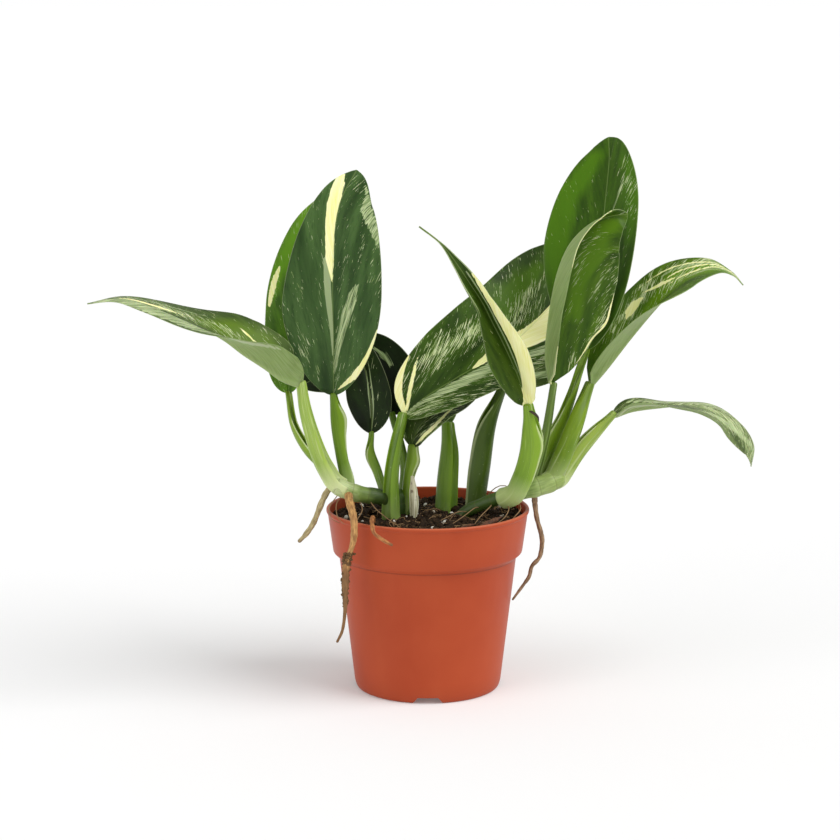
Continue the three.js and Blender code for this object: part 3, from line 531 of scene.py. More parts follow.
ROOTS = {
    "outer_left": dict(
        path=[(-51, -24.5, 126), (-55, -24, 126), (-58.6, -23, 122), (-61.7, -21, 115.6),
              (-64.1, -19, 109.2), (-67.2, -18, 101.8), (-71.3, -17, 95.6), (-75.5, -16, 90.9)],
        radii=[1.7, 1.7, 1.8, 1.8, 1.7, 1.6, 1.5, 1.1], tones=("#cdbf8c", "#93825a"), turn=0.93),
    "long_left": dict(
        path=[(-46, -23, 122), (-46, -26, 122), (-45.5, -34, 119.6), (-43.5, -45, 115.5),
              (-42.2, -52, 110.6), (-42.2, -52.5, 102.5), (-43.7, -51, 95.2), (-46.4, -50, 87.9),
              (-47.2, -49.5, 79), (-47.6, -49, 70), (-47.7, -48, 57.9), (-49.3, -47, 45.8),
              (-52.5, -46, 38.3)],
        radii=[2.4, 2.4, 2.4, 2.2, 2, 1.8, 1.6, 2.2, 2, 1.4, 1, 0.9, 0.7], tones=("#d6a766", "#8f6236"),
        turn=0.55),
    "short_front": dict(
        path=[(-31, -35, 97), (-31, -37, 100), (-31.3, -38.5, 106), (-31.6, -42, 110.8), (-32, -49, 111.4),
              (-31.8, -57, 110.6), (-30.6, -63, 106.9), (-27.2, -64, 104.1), (-23.8, -64, 101.8),
              (-20.4, -64, 100)],
        radii=[1.2, 1.2, 1.3, 1.3, 1.3, 1.3, 1.2, 1.1, 1, 0.8], tones=("#c8894a", "#7c4522"), turn=0.93),
    "right_hanging": dict(
        path=[(62, -14.5, 123), (62.5, -13, 117), (63, -9, 111.2), (64.3, -8, 102.6), (66.7, -8, 94.1),
              (67.4, -8, 88.1), (66, -8, 79.6), (61.6, -8, 74.1), (59.9, -9, 68.1), (56.9, -11, 64.1),
              (50, -14, 55.2)],
        radii=[1.6, 1.6, 1.6, 1.5, 1.4, 1.3, 1.2, 1.2, 1.1, 0.9, 0.6], tones=("#b29270", "#6e5238"),
        turn=0.93),
}


def knobbly(seed):
    """Radius factors that rise and fall by a tenth every few millimetres."""
    def factors(s, length):
        swell = smooth_noise(s * length + 37 * seed, 0 * s + seed, 3.1)
        return 1 + 0.24 * swell + 0.12 * smooth_noise(s * length, 0 * s + 3 * seed, 1.2)
    return factors


def root_bark(name, pale, brown, turn=0.93):
    """Corky bark: matt and cracked, in a pale and a brown tone, and dull brown past the turn."""
    material, tree, shader = start_material(name)
    surface = point_value(tree, "surface_map", "Vector")
    share = add_node(tree, "ShaderNodeSeparateXYZ", {"Vector": surface}).outputs["Z"]
    cracks = pattern(tree, surface, (0.714, 3.57, 1), 5.0)
    patches = pattern(tree, surface, (8.33, 8.33, 8.33), 2.0)
    tone = painted(tree, linear(brown), linear(pale), cracks, 0.35, 0.7)
    tone = painted(tree, tone, linear(brown), patches, 0.5, 0.65, 0.75)
    tone = painted(tree, tone, linear("#6a4c2e"), share, turn, turn + 0.07, 0.75)
    connect(tree, shader, {"Base Color": tone, "Roughness": 0.75, "Normal": relief(tree, cracks, 0.6, 0.6)})
    return material


for seed, (name, form) in enumerate(ROOTS.items(), start=1):
    points, faces, mapped = round_tube(form["path"], form["radii"], rings=130, sides=20, bumps=knobbly(seed))
    bark = root_bark(f"corky root bark {name}", *form["tones"], form["turn"])
    root = add_piece(f"aerial_root_{name}", points, faces, bark, [f"root_{name}"])
    set_attribute(root, "surface_map", "FLOAT_VECTOR", mapped)

# Fine rootlets: pale brown threads as thick as coarse hair that lie over the soil in low arcs,
# and a few that run from the rhizomes' undersides to the soil. They are too thin for cracks to
# show, so they carry no surface map and have one even tone.
ROOTLET_RADIUS = 0.22
ROOTLETS = 200
ROOTLET_LIMIT = 54.0  # how far from the pot's axis they may lie
NODE_ROOTLETS = [
    [(-50, -25, 120), (-53, -30, 116), (-52, -36, 110), (-48, -38, 106)],
    [(-52, -25, 121), (-57, -27, 114), (-56, -30, 108), (-51, -30, 105)],
    [(-40, -24, 118), (-38, -31, 113), (-41, -38, 108), (-39, -42, 106)],
    [(-34, -23, 117), (-30, -33, 114), (-24, -38, 110), (-18, -44, 107)],
    [(24, -14, 108), (18, -22, 110), (10, -30, 108), (4, -36, 106)],
    [(30, -15, 111), (27, -26, 113), (20, -36, 110), (12, -42, 106)],
    [(37, -17, 113), (36, -27, 114), (30, -36, 110), (26, -42, 106)],
    [(45, -18, 114), (47, -27, 113), (44, -34, 109), (38, -40, 106)],
    [(52, -17, 116), (54, -22, 112), (50, -28, 108), (47, -30, 105)],
    [(33, 5, 105), (36, 3, 115), (43, 0, 121), (50, -2, 119), (53, -4, 112), (54, -6, 105)],
]


def thread(path, radius, seed):
    """Points and faces of a thin tube along the path."""
    radii = [radius, radius, 0.6 * radius]
    return round_tube(path, radii, rings=18, sides=6, bumps=knobbly(seed))[:2]


def joined(parts):
    """One list of points and faces from several."""
    points, faces, start = [], [], 0
    for body, shape in parts:
        points.append(body)
        faces += [[corner + start for corner in face] for face in shape]
        start += len(body)
    return np.concatenate(points), faces


threads = [thread(path, 1.3 * ROOTLET_RADIUS, k) for k, path in enumerate(NODE_ROOTLETS)]
for k in range(ROOTLETS):
    start = places_on_soil(1, 50.0)[0]
    heading = 2 * math.pi * rng.random()
    reach = 4 + 11 * rng.random()
    step = np.linspace(0, 1, 5)
    bend = heading + 1.6 * (rng.random(5) - 0.5) + 1.2 * step
    x = start[0] + reach * step * np.cos(bend)
    y = start[1] + reach * step * np.sin(bend)
    inward = np.minimum(ROOTLET_LIMIT / np.hypot(x, y), 1)
    x, y = inward * x, inward * y
    course = np.stack([x, y, soil_height(x, y) + 0.5 + 2.2 * step * (1 - step)], axis=-1)
    threads.append(thread(course, ROOTLET_RADIUS * (0.6 + 0.8 * rng.random()), k))
points, faces = joined(threads)
thread_bark = root_bark("pale rootlet skin", "#b08f63", "#6f5033")
add_piece("fine_rootlets", points, faces, thread_bark)

# A dried bud sheath, dark and hooked, at the foot of the narrow centre blade.
points, faces, mapped = round_tube(
    [(57.6, -38.5, 172.6), (60.4, -40.2, 171.4), (62.6, -40, 169.2), (63.2, -39, 166.4)],
    [0.4, 0.8, 0.6, 0.25], rings=24, sides=10, bumps=knobbly(9))
dried_sheath = root_bark("dried brown sheath", "#4a3a24", "#1d160d")
stub = add_piece("dried_stub", points, faces, dried_sheath)
set_attribute(stub, "surface_map", "FLOAT_VECTOR", mapped)

# Composted bark: two flat brown flakes at the front right of the soil.
flake_bark = root_bark("composted bark", "#7d4f31", "#3f2616")
ball, faces = lump(3)
for name, place, half_size, turn in (("bark_flake_large", (35, -41, 107.5), (7.5, 2.4, 1.6), 0.45),
                                     ("bark_flake_small", (22, -46, 106.5), (4.5, 1.6, 1.2), -0.3)):
    dented = ball * (1 + 0.16 * np.sin(5 * ball[:, :1] + 3) * np.cos(7 * ball[:, 1:2] + 4 * ball[:, 2:]))
    flat = dented * half_size
    across, on = math.cos(turn), math.sin(turn)
    turned = np.stack([flat[:, 0] * across - flat[:, 1] * on, flat[:, 0] * on + flat[:, 1] * across,
                       flat[:, 2] + 0.35 * flat[:, 0]], axis=-1)
    flake = add_piece(name, turned + place, faces, flake_bark)
    set_attribute(flake, "surface_map", "FLOAT_VECTOR", flat * (1, 1, 0))

# Peat that clings to the long root where it left an older pot, thinning towards its lower end.
CLING_GRAINS = 420
CLING_TOP = 92.0
CLING_LENGTH = 32.0
course_x, course_y, course_z = np.array(ROOTS["long_left"]["path"])[::-1].T
cling_share = rng.random(CLING_GRAINS) ** 1.6
cling_angle = 2 * math.pi * rng.random(CLING_GRAINS)
cling_reach = (2.6 - 1.6 * cling_share) * (0.5 + 0.7 * rng.random(CLING_GRAINS))
z = CLING_TOP - CLING_LENGTH * cling_share
x = np.interp(z, course_z, course_x) + cling_reach * np.cos(cling_angle)
y = np.interp(z, course_z, course_y) + 0.6 * cling_reach * np.sin(cling_angle)
cling_radii = 0.35 + 0.75 * rng.random(CLING_GRAINS) ** 2
points, faces = scattered(1, np.stack([x, y, z], axis=-1), cling_radii, squash=0.7, roughness=0.5)
cling = root_bark("dry peat dust", "#8a6636", "#2c1e10")
add_piece("clinging_peat", points, faces, cling)

# Petioles
# Leaf stalks, one for each blade: thick soft green stalks with a rounded back and two thin
# sheath wings beside a groove. Each grows from a rhizome, or straight out of the soil.

WING_THICKNESS = 0.8
WING_FLARE = -0.1  # how far a wing leans out for each millimetre of its height
STALK_ROWS = 34
FOOT_ROWS = 8
FOOT_STOOP = 5.0  # how far the foot runs straight on before it bends into the stem
COLUMN_STEP = 1.3  # millimetres round the stalk that a column of its mesh stands for
WING_TIPS = [10, 11, 15, 16]  # columns of its mesh
WING_SIDES = [9, 17]
ROUNDING_LEVELS = 2
PETIOLES = {
    "far_left": dict(
        path=[(-56.5, -24.5, 130.5), (-62, -25, 141), (-66.5, -25, 154), (-70.5, -25, 170),
              (-72.7, -24, 185)],
        face=[(0.8, -0.3, 0.5), (0.8, 0, 0.5)], radii=[5, 4.6, 4.2, 3.8, 3.3], wings=[1, 0.8, 0.4, 0],
        foot=(-47, -24.5, 123.4), green="#9fb850", pale=0.9),
    "left_back": dict(
        path=[(-59, -14, 133), (-71, -8, 144), (-79, 2, 157), (-82, 8, 174)],
        face=[(0.6, -0.6, 0.5), (0.2, -0.9, 0.2)], radii=[2.6, 2.4, 2.2, 2], wings=[2.5, 2.5, 2, 0],
        foot=(-51, -23, 125.5), green="#7c9a1c", pale=0.3),
    "left_upright": dict(
        path=[(-47.5, -19, 128.5), (-51, -15, 143), (-54, -11, 160), (-55, -9, 175.5)],
        face=[(1, 0, 0.1), (1, 0, 0), (0.9, -0.3, 0)], radii=[3.4, 3, 2.7, 2.2], wings=[2, 1.5, 3, 5, 0],
        foot=(-44, -24, 122), green="#6c8c16", pale=0.3),
    "left_dark": dict(
        path=[(-15, -6, 118), (-14, -2, 132), (-17, 1, 148), (-21, 4, 162)],
        face=[(0.6, -0.6, 0.2), (0.7, -0.5, 0.3)], radii=[2.6, 2.4, 2.2, 2], wings=[1, 1, 0.6, 0],
        foot=(-17, -10, 110), green="#66841c", pale=0.15),
    "left_small": dict(
        path=[(-25.5, -13, 120), (-29, -8, 132), (-33, -5, 143), (-33, -4, 152)],
        face=[(-1, 0, 0), (-1, 0, 0), (-0.4, -0.9, 0)], radii=[2.2, 2, 1.8, 1.6], wings=[1, 2, 3, 0],
        foot=(-22, -16, 113), green="#76942a", pale=0.25),
    "centre_wide": dict(
        path=[(-21, -22, 110), (-20.5, -20.5, 132), (-18, -17, 150), (-14.6, -14, 164.8)],
        face=[(-0.6, -0.6, 0.3), (-0.4, -0.8, 0.3)], radii=[4.9, 3.9, 3.5, 3], wings=[1, 1.5, 1, 0],
        foot=(-19, -21, 102), green="#6c8c20", pale=0.2),
    "centre_low": dict(
        path=[(-13, -14, 112), (-12.5, -13, 124), (-11, -10, 136), (-10, -8, 145)],
        face=[(0.9, -0.4, 0), (0.9, -0.4, 0.1)], radii=[2.6, 2.5, 2.3, 1.9], wings=[1, 1, 1.5, 3, 5, 3],
        foot=(-15, -13, 103), green="#7c9a28", pale=0.25),
    "centre_narrow": dict(
        path=[(51.7, -25, 124.5), (55.5, -28, 136), (57.8, -31, 148.4), (58.3, -34, 163.5),
              (57.3, -35.8, 174)],
        face=[(1, 0.1, 0), (1, 0, 0), (0.9, -0.4, 0)], radii=[5.6, 5.3, 5, 4.4, 3],
        wings=[1, 2, 3, 4.5, 2, 0],
        foot=(43, -17, 117), green="#7d9f26", pale=0.5),
    "right_tall": dict(
        path=[(66, -6, 129), (73, 2, 143), (80, 6, 158), (85, 6, 174), (88.5, 0, 189), (92, -5, 202)],
        face=[(-0.9, -0.4, 0.2), (-0.9, -0.4, 0.2), (0, -1, 0)], radii=[3.2, 3, 2.6, 2.3],
        wings=[1, 4, 2, 0, 0], foot=(62, -14, 123.5), green="#76961e", pale=0.3),
    "right_front": dict(
        path=[(61.5, -13, 128.5), (65.4, -14, 142), (69.2, -15, 160), (72.6, -16, 183)],
        face=[(0.8, -0.5, 0), (0.8, -0.5, 0)], radii=[2.6, 2.4, 2.3, 2.1], wings=[1, 0.8, 0.4, 0],
        foot=(57, -16.5, 122), green="#6c8438", pale=0.2),
    "right_arched": dict(
        path=[(75, -11, 130.5), (80, -9, 142), (86, -5, 157), (91, 1, 170), (95, 5.6, 180)],
        face=[(-0.8, 0.5, 0.2), (-0.8, 0.3, 0.3), (-0.8, -0.2, 0.5)], radii=[5.2, 5.1, 4.5, 3],
        wings=[1, 1, 1, 0], foot=(68, -14, 124.5), green="#76921e", pale=0.4),
    "right_low": dict(
        path=[(80, -3, 126.5), (88.5, 0.5, 139), (98, 0, 151), (108.2, -2, 163.5)],
        face=[(-0.6, -0.2, 0.8), (-0.5, -0.2, 0.85)], radii=[4, 3.6, 3, 2.3], wings=[1, 2, 3, 2, 0],
        foot=(70, -11, 125), green="#98b048", pale=0.75),
    "back_right": dict(
        path=[(29, 16, 104), (33, 17, 129), (37, 19, 154), (44.7, 21.5, 176)],
        face=[(-1, 0, 0), (-0.8, 0, 0.3), (-0.2, -0.5, 0.8)], radii=[5, 4.6, 4, 2.6], wings=[3, 5, 4, 0],
        foot=(28, 16, 97), green="#4a6410", pale=0.1),
    "back_left": dict(
        path=[(10, 8, 100), (11, 12, 121), (12.5, 16, 139), (12, 19.5, 153.3)],
        face=[(1, -0.5, 0), (0.9, -0.5, 0.2)], radii=[6.2, 5.8, 5.2, 3.8], wings=[1, 1.5, 1, 0],
        foot=(10, 7, 93), green="#72941e", pale=0.2),
}


def stalk_section(radius, wing):
    """Outlines across a stalk: half a circle for the back, then a wing, the groove and a wing."""
    r, w = radius[:, None], np.maximum(wing, 0)[:, None]
    t = math.pi * (1 + np.linspace(0, 1, 9))
    thick = np.minimum(WING_THICKNESS, 0.3 * r)
    tip_x, tip_y, floor_x = 0.82 * r + WING_FLARE * w, 0.8 * r + w, 0.6 * r
    bulge_x, bulge_y = 1.02 * r + 0.5 * abs(WING_FLARE) * w, 0.4 * r + 0.4 * w
    xs = [bulge_x, tip_x, tip_x - thick, floor_x, 0 * r, -floor_x, thick - tip_x, -tip_x, -bulge_x]
    ys = [bulge_y, tip_y, tip_y, 0.6 * r, 0.5 * r, 0.6 * r, tip_y, tip_y, bulge_y]
    across = np.concatenate([r * np.cos(t), *xs], axis=1)
    faceward = np.concatenate([r * np.sin(t), *ys], axis=1)
    return np.stack([across, faceward], axis=-1)


def stalk(path, face, radii, wings, reach=2.5, foot=None):
    """Points, faces, surface map and wing shares of a stalk that reaches a little past its path.

    With a foot, it starts inside the stem there: at (1-t)^2 start + 2t(1-t) stooped start + t^2 foot.
    """
    s = np.linspace(0, 1, STALK_ROWS)
    at, tangent, normal, side, length = framed_walk(path, face, s)
    at = at + tangent * reach * np.clip((s - 0.85) / 0.15, 0, 1)[:, None] ** 2
    radius, wing = along(radii, s), along(wings, s)
    place = length * s
    if foot is not None:
        t = np.linspace(1, 0, FOOT_ROWS + 1)[:-1, None]
        stooped = at[0] - tangent[0] * FOOT_STOOP
        lead = at[0] * (1 - t) ** 2 + 2 * t * (1 - t) * stooped + t**2 * np.array(foot)
        ahead = np.diff(np.vstack([lead, at[:1]]), axis=0)
        ahead /= np.linalg.norm(ahead, axis=1, keepdims=True)
        out = normal[0] - ahead * (ahead @ normal[0])[:, None]
        out /= np.linalg.norm(out, axis=1, keepdims=True)
        gaps = np.linalg.norm(lead - at[0], axis=1)
        at = np.vstack([lead, at])
        normal = np.vstack([out, normal])
        side = np.vstack([np.cross(ahead, out), side])
        radius = np.concatenate([radius[0] * (1 + 0.12 * t[:, 0]), radius])
        wing = np.concatenate([wing[0] * (1 - t[:, 0]), wing])
        place, s = np.concatenate([-gaps, place]), np.concatenate([-gaps / length, s])
    section = stalk_section(radius, wing)
    points, faces = capped_tube(at, side, normal, section)
    rows, columns = section.shape[:2]
    round_place = np.arange(columns) * COLUMN_STEP
    mapped = np.stack(np.broadcast_arrays(round_place, place[:, None], s[:, None]), axis=-1)
    mapped = np.concatenate([mapped.reshape(-1, 3), mapped[0, :1], mapped[-1, :1]])
    tips = np.zeros((rows, columns))
    tips[:, WING_TIPS] = np.clip(wing / 2, 0, 1)[:, None]
    tips[:, WING_SIDES] = 0.45 * np.clip(wing / 3, 0, 1)[:, None]
    return points, faces, mapped, np.append(tips.ravel(), [0, 0])


def tinted(colour, red, green, blue):
    """A linear colour with its channels multiplied."""
    return (red * colour[0], green * colour[1], blue * colour[2], 1.0)


def stalk_skin(name, green, pale_share):
    """Smooth turgid stalk skin: waxy green, with fine pale streaks, a whitish foot and pale edges, and
    painted light and shade: a lighter green where light shines through the wings, a darker foot in shade.

    Patterns are in millimetres round and along the stalk.
    """
    material, tree, shader = start_material(name)
    surface = point_value(tree, "surface_map", "Vector")
    wing = point_value(tree, "wing_edge")
    share = add_node(tree, "ShaderNodeSeparateXYZ", {"Vector": surface}).outputs["Z"]
    base = linear(green)
    dark = tinted(base, 0.5, 0.6, 0.45)
    lit_green = tinted(base, 1.15, 1.12, 1.0)
    fine = pattern(tree, surface, (0.8, 22, math.inf), 3.0)
    broad = pattern(tree, surface, (3.5, 30, math.inf), 2.0)
    streaks = pattern(tree, surface, (1.3, 40, math.inf), 2.0)
    dots = pattern(tree, surface, (0.7, 1.4, math.inf), 1.0)
    clear = 0.7 - 0.2 * pale_share
    tone = painted(tree, base, dark, broad, 0.56, 0.36, 0.65)
    tone = painted(tree, tone, dark, fine, 0.62, 0.4, 0.3)
    tone = painted(tree, tone, linear("#ccd79c"), streaks, clear, clear + 0.08, 0.45)
    tone = painted(tree, tone, linear("#cbd69c"), dots, 0.72, 0.76, 0.35)
    # Painted light: the thin wings turn a lighter green where light shines through them.
    tone = painted(tree, tone, lit_green, wing, 0.1, 0.5, 0.7)
    # Painted shade: the foot darkens near the soil, less so on the paler stalks.
    tone = painted(tree, tone, dark, share, 0.3, 0.0, 0.6 * (1 - pale_share))
    tone = painted(tree, tone, linear("#d3dba2"), share, 0.2, -0.1, 0.9 * pale_share)
    tone = painted(tree, tone, linear("#d3dcaa"), wing, 0.8, 0.97, 0.6)
    connect(tree, shader, {**LIVING_FLESH, "Base Color": tone, "Roughness": 0.34, "Specular IOR Level": 0.35,
                           "Normal": relief(tree, fine, 0.2, 0.3)})
    return material


def finish_smooth(piece):
    """Rounds a piece by subdivision, the same in every view."""
    rounding = piece.modifiers.new("rounding", "SUBSURF")
    rounding.levels = ROUNDING_LEVELS
    rounding.render_levels = ROUNDING_LEVELS


for name, form in PETIOLES.items():
    points, faces, mapped, tips = stalk(
        form["path"], form["face"], form["radii"], form["wings"], foot=form["foot"])
    skin_material = stalk_skin(f"stalk skin {name}", form["green"], form["pale"])
    piece = add_piece(f"stalk_{name}", points, faces, skin_material, [f"petiole_{name}"])
    set_attribute(piece, "surface_map", "FLOAT_VECTOR", mapped)
    set_attribute(piece, "wing_edge", "FLOAT", tips)
    finish_smooth(piece)

# Dry sheath
# The papery remains of a spent leaf's sheath, standing in the soil between the stalks: thin,
# ribbed along its length, cream with brown spots.

# Dead leaf tissue, dried in the air: matt and papery, with raised ribs about half a millimetre
# apart and brown spots where it stayed damp.
dry_paper, tree, shader = start_material("dry papery sheath")
surface = point_value(tree, "surface_map", "Vector")
ribs = pattern(tree, surface, (0.556, 16.7, 1), 4.0)
blotch = pattern(tree, surface, (3.33, 3.33, 3.33), 3.0)
tone = painted(tree, linear("#aba67c"), linear("#e6e4cb"), ribs, 0.35, 0.65)
tone = painted(tree, tone, linear("#6a5436"), blotch, 0.6, 0.7, 0.8)
connect(tree, shader, {"Base Color": tone, "Roughness": 0.7, "Normal": relief(tree, ribs, 0.7, 0.5)})

points, faces, mapped, _ = stalk(
    path=[(-8.5, -21, 104), (-7.5, -21, 113), (-8, -21, 121), (-9, -20, 131)],
    face=[(-0.6, -0.8, 0), (-0.6, -0.8, 0)], radii=[1.6, 2.2, 2.1, 0.9], wings=[0.5, 1.5, 1, 0], reach=0)
piece = add_piece("papery_sheath", points, faces, dry_paper, ["dry_sheath"])
set_attribute(piece, "surface_map", "FLOAT_VECTOR", mapped)
finish_smooth(piece)

# Blades
# Leathery leaf blades, one for each stalk. Each is a thin sheet folded along a sunken midrib,
# with cream and mint sectors and fine pale dashes that follow the side veins.

ROUND_BASE = (1.8, 1.6)
FULL_BASE = (3.2, 2.4)
BLUNT_TIP = (1.6, 1.45)
SLENDER_TIP = (1.5, 0.9)
BASE_HALF = 1.3  # the least half width, at the base and at the tip
TIP_HALF = 0.45
BLADE_ROWS = 130
CELLS_PER_HALF = 28
CREASE_HALF = 0.8  # the midrib's crease, on each side
FOLD_FULL_AT = 9.0  # half width from which a blade folds fully
EDGE_THICKNESS = 0.4
RIB_THICKNESS = 0.7
RIB_SPREAD = 5.0  # how far out the blade thins from its rib
GROOVE_DEPTH = 0.5
WAVES = 2  # ripples along a margin
MARK_REACH = 9.0  # how far outside a mark its distance is still told
PATTERN_STEP = 11.0  # shifts the pattern from one blade to the next
MARK_KINDS = ("cream", "mint", "line", "streaks", "bright")
